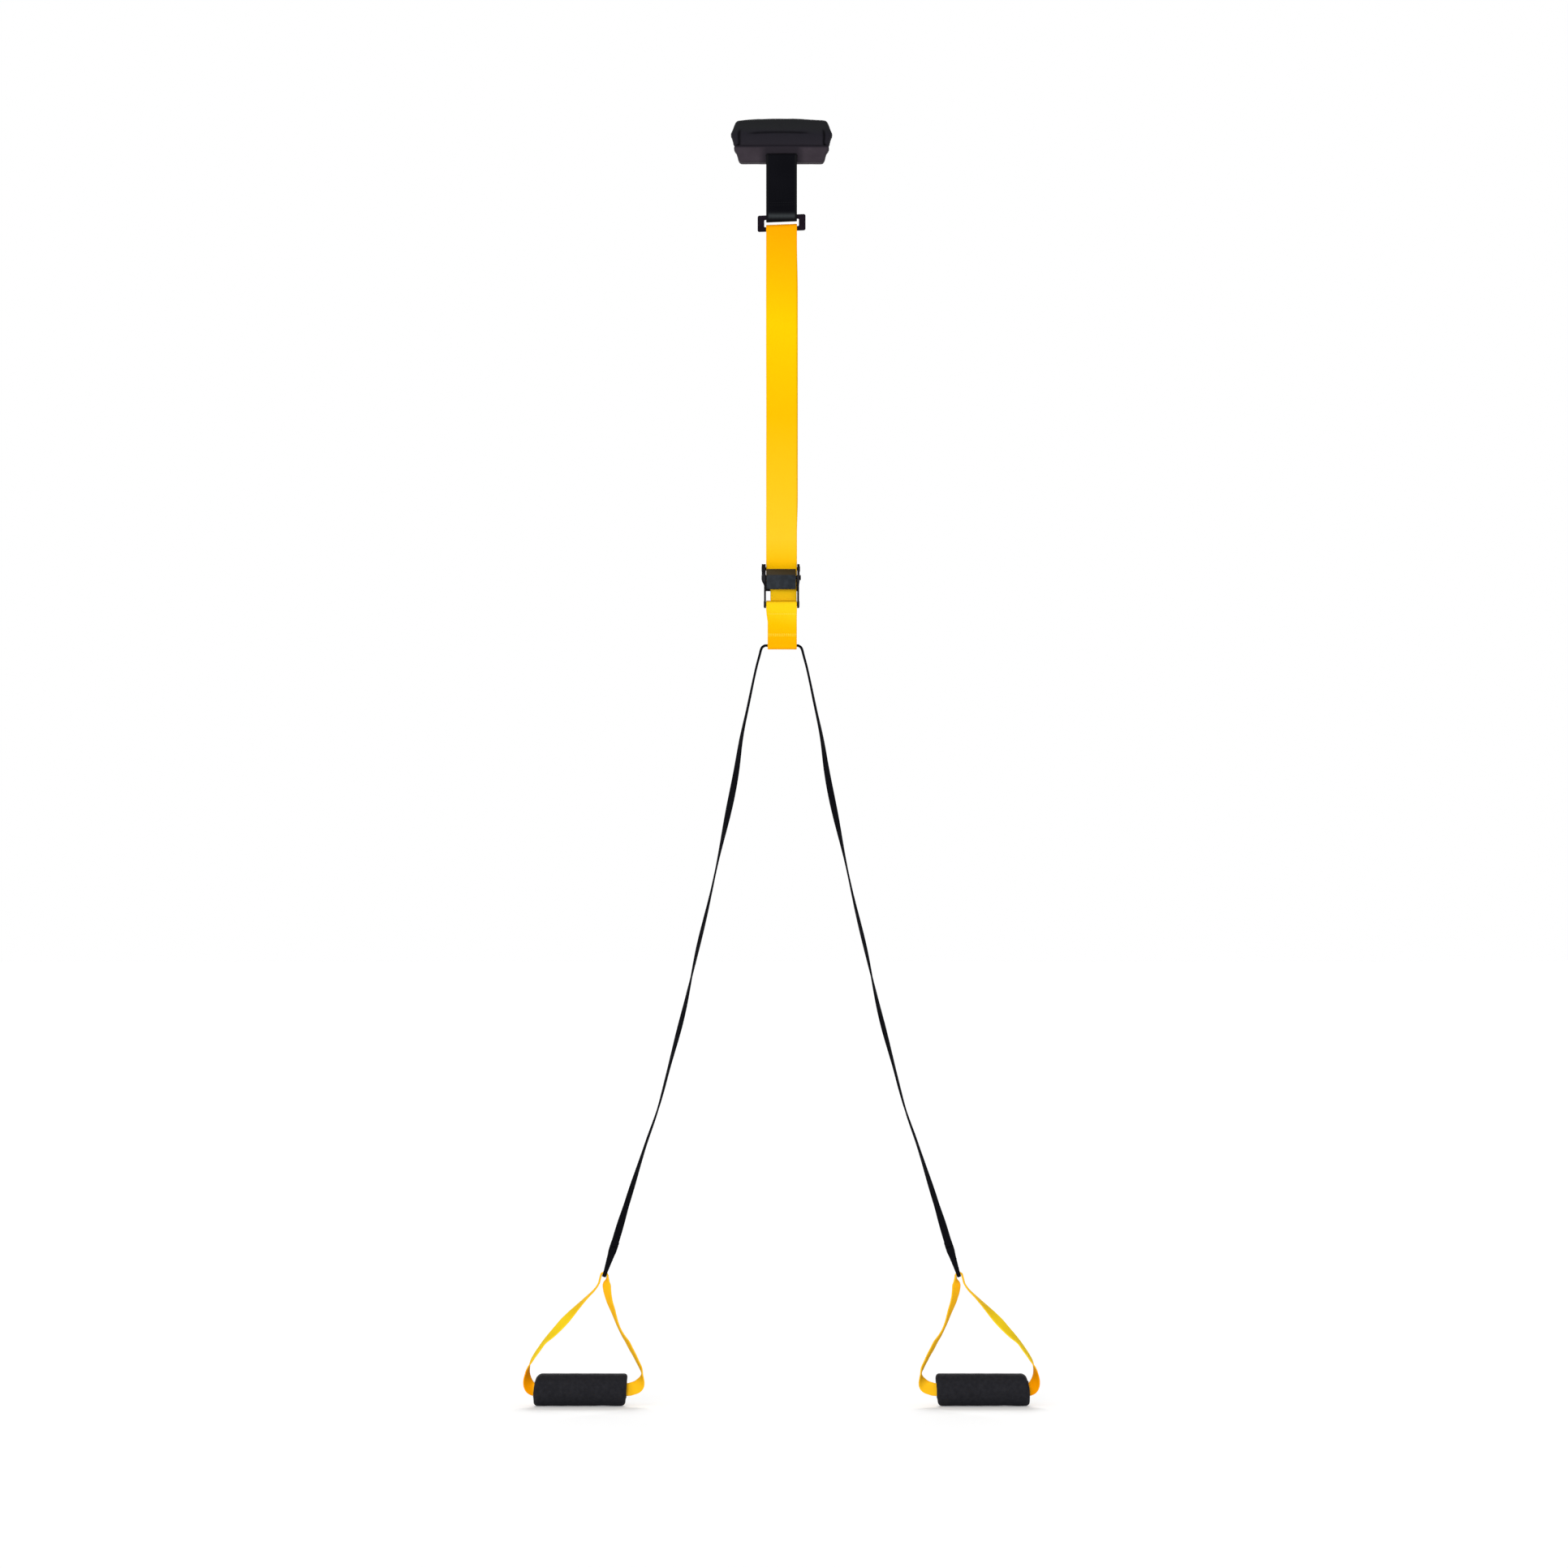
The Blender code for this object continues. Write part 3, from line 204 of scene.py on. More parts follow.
# 0 where the value is at start and 1 where it is at end. It goes on past both.
def shareNode(tree, value, start, end):
    return mathNode(tree, "MULTIPLY_ADD", value, 1 / (end - start), -start / (end - start))


def mixColours(tree, share, first, second):
    node = tree.nodes.new("ShaderNodeMix")
    node.data_type = "RGBA"
    for socket, value in ((node.inputs[0], share), (node.inputs[6], first), (node.inputs[7], second)):
        if isinstance(value, (int, float)):
            socket.default_value = value
        elif isinstance(value, tuple):
            socket.default_value = (*value, 1)
        else:
            tree.links.new(value, socket)
    return node.outputs[2]


# The place on the object, split into x, y and z.
def placeNode(tree):
    where = tree.nodes.new("ShaderNodeTexCoord")
    split = tree.nodes.new("ShaderNodeSeparateXYZ")
    tree.links.new(where.outputs["Object"], split.inputs[0])
    return split.outputs


def noiseNode(tree, scale, detail=3.0, stretch=(1, 1, 1)):
    where = tree.nodes.new("ShaderNodeTexCoord")
    mapping = tree.nodes.new("ShaderNodeMapping")
    mapping.inputs["Scale"].default_value = stretch
    texture = tree.nodes.new("ShaderNodeTexNoise")
    texture.inputs["Scale"].default_value = scale
    texture.inputs["Detail"].default_value = detail
    tree.links.new(where.outputs["Object"], mapping.inputs["Vector"])
    tree.links.new(mapping.outputs["Vector"], texture.inputs["Vector"])
    return texture.outputs["Fac"]


def rampNode(tree, value, stops):
    node = tree.nodes.new("ShaderNodeValToRGB")
    ramp = node.color_ramp
    while len(ramp.elements) < len(stops):
        ramp.elements.new(0.5)
    for element, (spot, colour) in zip(ramp.elements, stops):
        element.position = spot
        element.color = (*colour, 1)
    tree.links.new(value, node.inputs[0])
    return node.outputs[0]


def bumpNode(tree, shader, height, strength, distance):
    node = tree.nodes.new("ShaderNodeBump")
    node.inputs["Strength"].default_value = strength
    node.inputs["Distance"].default_value = distance
    tree.links.new(height, node.inputs["Height"])
    tree.links.new(node.outputs[0], shader.inputs["Normal"])


# Height of a woven band: yarns run along V, and each rises half a pick after the one beside it.
def weaveHeight(tree, yarn, pick):
    uv = tree.nodes.new("ShaderNodeUVMap")
    uv.uv_map = "webUV"
    split = tree.nodes.new("ShaderNodeSeparateXYZ")
    tree.links.new(uv.outputs[0], split.inputs[0])
    column = mathNode(tree, "DIVIDE", split.outputs[0], yarn)
    row = mathNode(tree, "DIVIDE", split.outputs[1], pick)
    phase = mathNode(tree, "MULTIPLY_ADD", mathNode(tree, "FLOOR", column), 0.5, row)
    rise = mathNode(tree, "SINE", mathNode(tree, "MULTIPLY", phase, 2 * math.pi))
    rise = mathNode(tree, "MULTIPLY_ADD", rise, 0.3, 0.7)
    across = mathNode(tree, "ABSOLUTE", mathNode(tree, "SINE", mathNode(tree, "MULTIPLY", column, math.pi)))
    across = mathNode(tree, "POWER", across, 0.5)
    return mathNode(tree, "MULTIPLY", rise, across), split.outputs[0]


weave = {"yarn": 1.25, "pick": 1.6, "strength": 0.45, "depth": 0.22 * mm, "fuzz": 0.25}


# Woven webbing. bodyColour makes the yarn's colour, and selvedge is a half width in millimetres outside
# of which the yarn is paler.
def webbingMaterial(name, roughness, bodyColour, groove, grooveShadeShare, specular, selvedge=None):
    made, tree, shader = newMaterial(name, (0.5, 0.5, 0.5), roughness, Specular_IOR_Level=specular)
    height, across = weaveHeight(tree, weave["yarn"], weave["pick"])
    colour = bodyColour(tree)
    if selvedge:
        place, pale = selvedge
        outer = mathNode(tree, "GREATER_THAN", mathNode(tree, "ABSOLUTE", across), place)
        colour = mixColours(tree, outer, colour, pale)
    # Painted shade in the weave's grooves: the groove colour comes in where the yarn lies low.
    fade = mathNode(tree, "MULTIPLY", mathNode(tree, "SUBTRACT", 1.0, height), grooveShadeShare)
    tree.links.new(mixColours(tree, fade, colour, groove), shader.inputs["Base Color"])
    rough = mathNode(tree, "MULTIPLY_ADD", noiseNode(tree, 60), 0.2, roughness - 0.1)
    tree.links.new(rough, shader.inputs["Roughness"])
    fuzz = mathNode(tree, "MULTIPLY_ADD", noiseNode(tree, 900, 2), weave["fuzz"], height)
    bumpNode(tree, shader, fuzz, weave["strength"], weave["depth"])
    return made


# Pairs of places between which a colour changes.
fades = {
    "strapZ": (-98 * mm, -628 * mm), "loopTopShadowZ": (-569.7 * mm, -568.6 * mm),
    "branchLightX": (222 * mm, 262 * mm), "turnShadeX": (298 * mm, 308 * mm), "turnShadeZ": (-1500 * mm, -1518 * mm),
    "foldHighlightZ": (-94.4 * mm, -91.6 * mm), "padZ": (-9 * mm, 21 * mm), "seamShadowZ": (-10.4 * mm, -8.6 * mm),
    "slotShadowX": (28 * mm, 19 * mm), "slotShadowY": (18 * mm, 10 * mm), "leverTopShadeZ": (-537.5 * mm, -536 * mm),
}


# Colour along the strap: painted shade near the ring, painted shading that rises and falls lower down, a
# painted highlight on the lower loop's upper eye and painted shade towards the fold.
yellowGrooveShade, blackGrooveShade = (0.88, 0.40, 0.0), (0.001, 0.001, 0.0015)
paintedLightAlongStrap = [(0.03, (0.95, 0.36, 0.0)), (0.25, (0.95, 0.57, 0.0)), (0.45, (0.86, 0.48, 0.0)),
       (0.62, (0.94, 0.53, 0.01)), (0.75, (0.95, 0.56, 0.02)), (0.81, (0.98, 0.52, 0.0)),
       (0.87, (0.99, 0.62, 0.01)), (0.91, (0.96, 0.60, 0.008)), (0.945, (0.95, 0.49, 0.0)),
       (1.0, (0.94, 0.39, 0.0))]


def yellowByHeight(tree):
    share = shareNode(tree, placeNode(tree)[2], *fades["strapZ"])
    cloud = mathNode(tree, "MULTIPLY_ADD", noiseNode(tree, 7, 2, (1, 1, 0.5)), 0.1, -0.05)
    return rampNode(tree, mathNode(tree, "ADD", share, cloud), paintedLightAlongStrap)


# As the straps, with a painted shadow along the top of the upper eye.
def yellowLoop(tree):
    top = shareNode(tree, placeNode(tree)[2], *fades["loopTopShadowZ"])
    return mixColours(tree, top, yellowByHeight(tree), (0.50, 0.19, 0.0))


# Painted light and shade: the inner branch of a loop is deeper, as in shade, the outer one paler, as if
# lit, and the turn into the grip is painted orange shade, as with light through the webbing.
def yellowHandle(tree):
    x, y, z = placeNode(tree)
    side = mathNode(tree, "ABSOLUTE", x)
    outer = shareNode(tree, side, *fades["branchLightX"])
    cloud = mathNode(tree, "MULTIPLY_ADD", noiseNode(tree, 22, 2), 0.5, -0.25)
    colour = rampNode(tree, mathNode(tree, "ADD", outer, cloud),
                      [(0.0, (1.0, 0.55, 0.015)), (0.5, (1.0, 0.60, 0.015)), (1.0, (1.0, 0.72, 0.02))])
    # Painted orange shade at the turn into the grip.
    low, far = shareNode(tree, z, *fades["turnShadeZ"]), shareNode(tree, side, *fades["turnShadeX"])
    turn = mathNode(tree, "MINIMUM", low, far)
    return mixColours(tree, turn, colour, (1.0, 0.34, 0.0))


def blackYarn(tree):
    shades = [(0.3, (0.0030, 0.0030, 0.0048)), (0.7, (0.0055, 0.0055, 0.0078))]
    return rampNode(tree, noiseNode(tree, 30, 3), shades)


# Black, with a painted grey highlight in a band where the strap bends round the ring.
def anchorYarn(tree):
    away = shareNode(tree, placeNode(tree)[2], *fades["foldHighlightZ"])
    fall = mathNode(tree, "MULTIPLY", mathNode(tree, "MULTIPLY", away, away), -1.0)
    highlightBand = mathNode(tree, "POWER", math.e, fall)
    return mixColours(tree, highlightBand, blackYarn(tree), (0.046, 0.052, 0.056))


mainYellow = webbingMaterial("yellowStrapWebbing", 0.7, yellowByHeight, yellowGrooveShade, 0.25, 0.02)
loopYellow = webbingMaterial("yellowLoopWebbing", 0.7, yellowLoop, yellowGrooveShade, 0.25, 0.02)
handleYellow = webbingMaterial("yellowHandleWebbing", 0.7, yellowHandle, yellowGrooveShade, 0.25, 0.02)
blackWeb = webbingMaterial("blackStrapWebbing", 0.8, anchorYarn, blackGrooveShade, 0.6, 0.03,
                           (16.4, (0.0095, 0.0095, 0.0105)))
legWeb = webbingMaterial("blackLegWebbing", 0.8, blackYarn, blackGrooveShade, 0.6, 0.03)


# Twisted sewing thread.
def threadMaterial(name, colour):
    made, tree, shader = newMaterial(name, colour, 0.6, Specular_IOR_Level=0.08)
    bumpNode(tree, shader, noiseNode(tree, 2500, 2), 0.3, 0.08 * mm)
    return made


darkThread = threadMaterial("darkThread", (0.006, 0.006, 0.008))
orangeThread = threadMaterial("orangeThread", (0.85, 0.36, 0.0))
paleThread = threadMaterial("paleThread", (1.0, 0.72, 0.06))


# Coated pack cloth: a tight even weave with small creases, greener above and redder below.
def padMaterial():
    made, tree, shader = newMaterial("padCloth", (0.006, 0.006, 0.008), 0.78, Specular_IOR_Level=0.06)
    x, y, z = placeNode(tree)
    pitch = 2 * math.pi / (0.9 * mm)
    phases = [mathNode(tree, "MULTIPLY", value, pitch) for value in (x, y, z)]
    across, deep, up = [mathNode(tree, "SINE", phase) for phase in phases]
    cloth = mathNode(tree, "MULTIPLY", mathNode(tree, "ADD", across, deep), up)
    crease = noiseNode(tree, 45, 4, (1, 1, 1.6))
    bumpNode(tree, shader, mathNode(tree, "MULTIPLY_ADD", cloth, 0.1, crease), 0.3, 0.5 * mm)
    level = shareNode(tree, z, *fades["padZ"])
    level = mathNode(tree, "ADD", level, mathNode(tree, "MULTIPLY_ADD", crease, 0.3, -0.15))
    colour = rampNode(tree, level, [(0.1, (0.0165, 0.0145, 0.0195)), (0.55, (0.0125, 0.0115, 0.0160)),
                                    (0.8, (0.0135, 0.0140, 0.0155))])
    shade = tree.nodes.new("ShaderNodeAttribute")
    shade.attribute_name = "grooveShade"
    colour = mixColours(tree, shade.outputs["Fac"], colour, (0.0012, 0.0010, 0.0018))
    tree.links.new(colour, shader.inputs["Base Color"])
    return made


# The lower block's cloth is a little lighter and warmer, with painted shadow along the seam and over the
# strap in the middle of the front.
def baseMaterial():
    made, tree, shader = newMaterial("baseCloth", (0.016, 0.012, 0.016), 0.8, Specular_IOR_Level=0.06)
    crease = noiseNode(tree, 60, 4)
    fine = noiseNode(tree, 1400, 2)
    bumpNode(tree, shader, mathNode(tree, "MULTIPLY_ADD", fine, 0.3, crease), 0.25, 0.4 * mm)
    colour = rampNode(tree, crease, [(0.3, (0.0320, 0.0250, 0.0320)), (0.7, (0.0420, 0.0335, 0.0420))])
    x, y, z = placeNode(tree)
    # Painted shadow under the seam and over the strap's slot.
    seam = shareNode(tree, z, *fades["seamShadowZ"])
    middle = shareNode(tree, mathNode(tree, "ABSOLUTE", x), *fades["slotShadowX"])
    middle = mathNode(tree, "MULTIPLY", mathNode(tree, "MINIMUM", middle, 1.0), 0.8)
    middle = mathNode(tree, "MINIMUM", middle, shareNode(tree, y, *fades["slotShadowY"]))
    paintedShadow = mathNode(tree, "MAXIMUM", seam, middle)
    tree.links.new(mixColours(tree, paintedShadow, colour, (0.0135, 0.0115, 0.0160)), shader.inputs["Base Color"])
    return made


# Closed-cell foam: matt, with fine pores.
def foamMaterial():
    made, tree, shader = newMaterial("gripFoam", (0.013, 0.013, 0.016), 0.88, Specular_IOR_Level=0.08)
    where = tree.nodes.new("ShaderNodeTexCoord")
    pores = tree.nodes.new("ShaderNodeTexVoronoi")
    pores.inputs["Scale"].default_value = 900
    tree.links.new(where.outputs["Object"], pores.inputs["Vector"])
    fine = mathNode(tree, "MULTIPLY", pores.outputs["Distance"], 1.4)
    skin = noiseNode(tree, 220, 4)
    bumpNode(tree, shader, mathNode(tree, "ADD", fine, skin), 0.4, 0.2 * mm)
    colour = rampNode(tree, skin, [(0.3, (0.0125, 0.0125, 0.0155)), (0.75, (0.0195, 0.0195, 0.0235))])
    tree.links.new(colour, shader.inputs["Base Color"])
    return made


# Black coated steel with a slight orange peel. The last argument, if given, is a pair of heights and the
# colour of a painted shade band that comes in between them.
def coatedSteel(name, colour, roughness, specular, paintedShadeBand=None):
    made, tree, shader = newMaterial(name, colour, roughness, Specular_IOR_Level=specular)
    bumpNode(tree, shader, noiseNode(tree, 700, 3), 0.12, 0.15 * mm)
    rough = mathNode(tree, "MULTIPLY_ADD", noiseNode(tree, 90, 3), 0.16, roughness - 0.08)
    tree.links.new(rough, shader.inputs["Roughness"])
    rubbed = noiseNode(tree, 160, 4)
    paler = tuple(1.8 * c + 0.001 for c in colour)
    finish = rampNode(tree, rubbed, [(0.45, colour), (0.75, paler)])
    if paintedShadeBand:
        heights, shadeColour = paintedShadeBand
        finish = mixColours(tree, shareNode(tree, placeNode(tree)[2], *heights), finish, shadeColour)
    tree.links.new(finish, shader.inputs["Base Color"])
    return made


# A hard surface with a grain in its relief and in its gloss, which is a pair of factor and offset.
def grainMaterial(name, colour, roughness, pattern, relief, gloss, **sockets):
    made, tree, shader = newMaterial(name, colour, roughness, **sockets)
    grain = noiseNode(tree, *pattern)
    bumpNode(tree, shader, grain, relief, 0.1 * mm)
    tree.links.new(mathNode(tree, "MULTIPLY_ADD", grain, *gloss), shader.inputs["Roughness"])
    return made


padCloth = padMaterial()
baseCloth = baseMaterial()
gripFoam = foamMaterial()
ringSteel = coatedSteel("ringSteel", (0.0040, 0.0012, 0.0048), 0.5, 0.04)
buckleSteel = coatedSteel("buckleSteel", (0.0045, 0.0038, 0.0055), 0.45, 0.08)
# The lever's top gets painted brown shade, tinted by a painted reflection of the yellow webbing.
leverSteel = coatedSteel("leverSteel", (0.0120, 0.0150, 0.0195), 0.5, 0.08,
                         (fades["leverTopShadeZ"], (0.034, 0.022, 0.007)))
platedSteel = grainMaterial("platedSteel", (0.55, 0.55, 0.54), 0.3, (500, 3, (0.1, 1, 1)), 0.12,
                            (0.2, 0.22), Metallic=1.0)
blackPlastic = grainMaterial("mouldedPlastic", (0.010, 0.010, 0.012), 0.45, (1200, 2), 0.2,
                             (0.15, 0.4), Specular_IOR_Level=0.2)
print("materials")


# Webbing. A station is its middle, the direction of its width, its width and its thickness.
section = {"faceSteps": 16, "edgeSteps": 4, "selvedge": 0.12, "selvedgeRise": 0.05}
web = {"width": 38 * mm, "thickness": 1.6 * mm, "spacing": 1.2 * mm}
axisY = -3.2 * mm       # plane in which the anchor strap and the ring hang


def painted(obj, look):
    obj.data.materials.clear()
    obj.data.materials.append(look)
    return obj


def linked(name, mesh, look):
    obj = bpy.data.objects.new(name, mesh)
    bpy.context.scene.collection.objects.link(obj)
    return painted(obj, look)


# Ends a mesh that was built up face by face and makes it an object.
def closedShape(name, shape, look):
    bmesh.ops.recalc_face_normals(shape, faces=shape.faces)
    mesh = bpy.data.meshes.new(name)
    shape.to_mesh(mesh)
    shape.free()
    return linked(name, mesh, look)


# Rides a piece on its body and hides the nodes that it stands for. The name of its finish is not used.
def place(obj, body, slotName, *nodes):
    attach(obj, body)
    if nodes:
        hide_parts(*nodes)
    return obj


def smoothStep(low, high, value):
    t = min(max((value - low) / (high - low), 0.0), 1.0)
    return t * t * (3 - 2 * t)


def tableValue(table, share):
    for (s0, v0), (s1, v1) in zip(table, table[1:]):
        if share <= s1:
            return v0 + (v1 - v0) * smoothStep(s0, s1, share)
    return table[-1][1]


# Evenly spaced points on a smooth curve. Values past the first three are carried along.
def smoothRoute(points, spacing):
    fine = []
    last = len(points) - 1
    for k in range(last):
        p0, p1, p2, p3 = (points[min(max(k + step, 0), last)] for step in (-1, 0, 1, 2))
        for s in range(24):
            t = s / 24
            fine.append([(2 * b + (c - a) * t + (2 * a - 5 * b + 4 * c - d) * t * t
                          + (3 * b - a - 3 * c + d) * t ** 3) / 2
                         for a, b, c, d in zip(p0, p1, p2, p3)])
    fine.append(list(points[-1]))
    return evenRoute(fine, spacing)


# The same polyline with evenly spaced points.
def evenRoute(fine, spacing):
    run = [0.0]
    for a, b in zip(fine, fine[1:]):
        run.append(run[-1] + (Vector(b[:3]) - Vector(a[:3])).length)
    samples = max(2, round(run[-1] / spacing))
    route = []
    k = 0
    for s in range(samples + 1):
        distance = run[-1] * s / samples
        while k < len(run) - 2 and run[k + 1] < distance:
            k += 1
        t = (distance - run[k]) / max(run[k + 1] - run[k], 1e-9)
        route.append([a + (b - a) * t for a, b in zip(fine[k], fine[k + 1])])
    return route


# Half-unit section of the webbing: two flat faces with a slightly fuller selvedge, round edges.
def sectionShape():
    upper = []
    for k in range(section["faceSteps"] + 1):
        across = -1 + 2 * k / section["faceSteps"]
        near = max(0.0, (abs(across) - 1 + 2 * section["selvedge"]) / (2 * section["selvedge"]))
        upper.append((across, 1 + section["selvedgeRise"] * math.sin(math.pi * near)))
    edge = []
    for k in range(1, section["edgeSteps"]):
        angle = math.pi * k / section["edgeSteps"]
        edge.append((math.sin(angle), math.cos(angle)))
    return upper, edge


# A woven band through the stations, with rounded edges and a UV map in millimetres.
def webbing(name, stations, look, closed=False):
    upper, edge = sectionShape()
    shape = bmesh.new()
    uvLayer = shape.loops.layers.uv.new("webUV")
    count = len(stations)
    rings = []
    runs = [0.0]
    for k, (middle, across, width, thickness) in enumerate(stations):
        before = stations[k - 1][0] if closed or k else middle
        after = stations[(k + 1) % count][0] if closed or k < count - 1 else middle
        along = (after - before).normalized()
        across = (across - along * across.dot(along)).normalized()
        through = along.cross(across)
        flat = (width - thickness) / 2
        places = [(flat * a, thickness / 2 * h) for a, h in upper]
        places += [(flat + thickness / 2 * a, thickness / 2 * h) for a, h in edge]
        places += [(flat * a, -thickness / 2 * h) for a, h in reversed(upper)]
        places += [(-flat - thickness / 2 * a, -thickness / 2 * h) for a, h in edge]
        rings.append([(shape.verts.new(middle + across * a + through * b), a / mm) for a, b in places])
        if k:
            runs.append(runs[-1] + (middle - stations[k - 1][0]).length / mm)
    if closed:
        runs.append(runs[-1] + (stations[0][0] - stations[-1][0]).length / mm)
    size = len(rings[0])
    for k in range(count if closed else count - 1):
        one, two = rings[k], rings[(k + 1) % count]
        for c in range(size):
            d = (c + 1) % size
            face = shape.faces.new((one[c][0], one[d][0], two[d][0], two[c][0]))
            face.smooth = True
            corners = [(one[c][1], runs[k]), (one[d][1], runs[k]),
                       (two[d][1], runs[k + 1]), (two[c][1], runs[k + 1])]
            for loop, corner in zip(face.loops, corners):
                loop[uvLayer].uv = corner
    if not closed:
        for ring, run in ((rings[0][::-1], runs[0]), (rings[-1], runs[-1])):
            face = shape.faces.new([vertex for vertex, u in ring])
            for loop, (vertex, u) in zip(face.loops, ring):
                loop[uvLayer].uv = (u, run)
    return closedShape(name, shape, look)


# Stations of a broad strap that follows y and z points. shift gives dx, dy and a share of the width
# for a z.
def bandStations(path, shift=None, closed=False):
    points = [(0.0, y, z) for y, z in path]
    if closed:
        points.append(points[0])
    route = evenRoute(points, web["spacing"])
    if closed:
        route.pop()
    stations = []
    for x, y, z in route:
        dx, dy, share = shift(z) if shift else (0.0, 0.0, 1.0)
        stations.append((Vector((x + dx, y + dy, z)), xAxis, web["width"] * share, web["thickness"]))
    return stations


def arcPoints(centre, radius, start, end, steps=20):
    angles = [start + (end - start) * s / steps for s in range(steps + 1)]
    return [(centre[0] + radius * math.cos(a), centre[1] + radius * math.sin(a)) for a in angles]


# The arc of an eye from one tangent of its neck to the other, in y and z, anticlockwise.
def eyePoints(centre, radius, neckHalf, neckReach, neckUp):
    tangent = math.atan2(neckHalf, neckReach) + math.acos(radius / math.hypot(neckHalf, neckReach))
    neck = math.pi / 2 if neckUp else -math.pi / 2
    return arcPoints(centre, radius, neck + tangent, neck + 2 * math.pi - tangent)


# The ring hangs a little lower on its left and takes the two eyes with it.
hang = {"tilt": 0.04, "z": -103 * mm, "reach": 50 * mm}


def tilted(obj):
    for vertex in obj.data.vertices:
        away = (vertex.co.z - hang["z"]) / hang["reach"]
        vertex.co.z += hang["tilt"] * vertex.co.x * max(0.0, 1 - away * away) ** 2
    return obj


def evaluatedMesh(obj):
    bpy.context.view_layer.update()
    return bpy.data.meshes.new_from_object(obj.evaluated_get(bpy.context.evaluated_depsgraph_get()))


# The object with its modifiers applied to its mesh.
def baked(obj):
    mesh = evaluatedMesh(obj)
    obj.modifiers.clear()
    obj.data = mesh
    return obj


# Stitches: each row is a line of points, and the thread is laid along it at an even pitch.
def stitchTree():
    tree = bpy.data.node_groups.new("stitchRow", "GeometryNodeTree")
    tree.interface.new_socket("Geometry", in_out="INPUT", socket_type="NodeSocketGeometry")
    for label in ("Pitch", "Length", "Thread"):
        tree.interface.new_socket(label, in_out="INPUT", socket_type="NodeSocketFloat")
    tree.interface.new_socket("Look", in_out="INPUT", socket_type="NodeSocketMaterial")
    tree.interface.new_socket("Geometry", in_out="OUTPUT", socket_type="NodeSocketGeometry")
    start = tree.nodes.new("NodeGroupInput")
    end = tree.nodes.new("NodeGroupOutput")
    line = tree.nodes.new("GeometryNodeMeshToCurve")
    points = tree.nodes.new("GeometryNodeCurveToPoints")
    points.mode = "LENGTH"
    bead = tree.nodes.new("GeometryNodeMeshUVSphere")
    for label, value in (("Segments", 8), ("Rings", 6), ("Radius", 0.5)):
        bead.inputs[label].default_value = value
    size = tree.nodes.new("ShaderNodeCombineXYZ")
    turn = tree.nodes.new("FunctionNodeAlignRotationToVector")
    turn.axis = "Z"
    put = tree.nodes.new("GeometryNodeInstanceOnPoints")
    real = tree.nodes.new("GeometryNodeRealizeInstances")
    look = tree.nodes.new("GeometryNodeSetMaterial")
    links = [
        (start, "Geometry", line, 0), (line, 0, points, "Curve"), (start, "Pitch", points, "Length"),
        (points, "Points", put, "Points"), (points, "Tangent", turn, "Vector"), (turn, 0, put, "Rotation"),
        (bead, "Mesh", put, "Instance"), (start, "Thread", size, 0), (start, "Thread", size, 1),
        (start, "Length", size, 2), (size, 0, put, "Scale"), (put, 0, real, 0), (real, 0, look, "Geometry"),
        (start, "Look", look, "Material"), (look, 0, end, 0),
    ]
    for source, output, target, socket in links:
        tree.links.new(source.outputs[output], target.inputs[socket])
    return tree


stitchRow = stitchTree()
sewing = {"pitch": 3 * mm, "length": 2.4 * mm, "thread": 0.55 * mm, "lift": 0.1 * mm}


# One mesh with the stitches of all rows.
def stitches(name, rows, look, pitch=sewing["pitch"], length=sewing["length"], thread=sewing["thread"]):
    vertices = []
    edges = []
    for row in rows:
        edges += [(len(vertices) + k, len(vertices) + k + 1) for k in range(len(row) - 1)]
        vertices += [tuple(point) for point in row]
    mesh = bpy.data.meshes.new(name)
    mesh.from_pydata(vertices, edges, [])
    obj = linked(name, mesh, look)
    modifier = obj.modifiers.new("stitches", "NODES")
    modifier.node_group = stitchRow
    values = {"Pitch": pitch, "Length": length, "Thread": thread, "Look": look}
    for socket in stitchRow.interface.items_tree:
        if socket.in_out == "INPUT" and socket.name in values:
            modifier[socket.identifier] = values[socket.name]
    obj.update_tag()
    baked(obj)
    obj.data.shade_smooth()
    return obj


def lineBetween(start, end, steps=2):
    return [Vector(start).lerp(Vector(end), s / steps) for s in range(steps + 1)]


# Rows of a sewn rectangle with its diagonals, on a plane across Y.
def boxAndCross(x, y, low, high):
    a, b, c, d = (-x, y, low), (x, y, low), (x, y, high), (-x, y, high)
    return [lineBetween(a, b), lineBetween(b, c), lineBetween(c, d), lineBetween(d, a),
            lineBetween(a, c), lineBetween(b, d)]


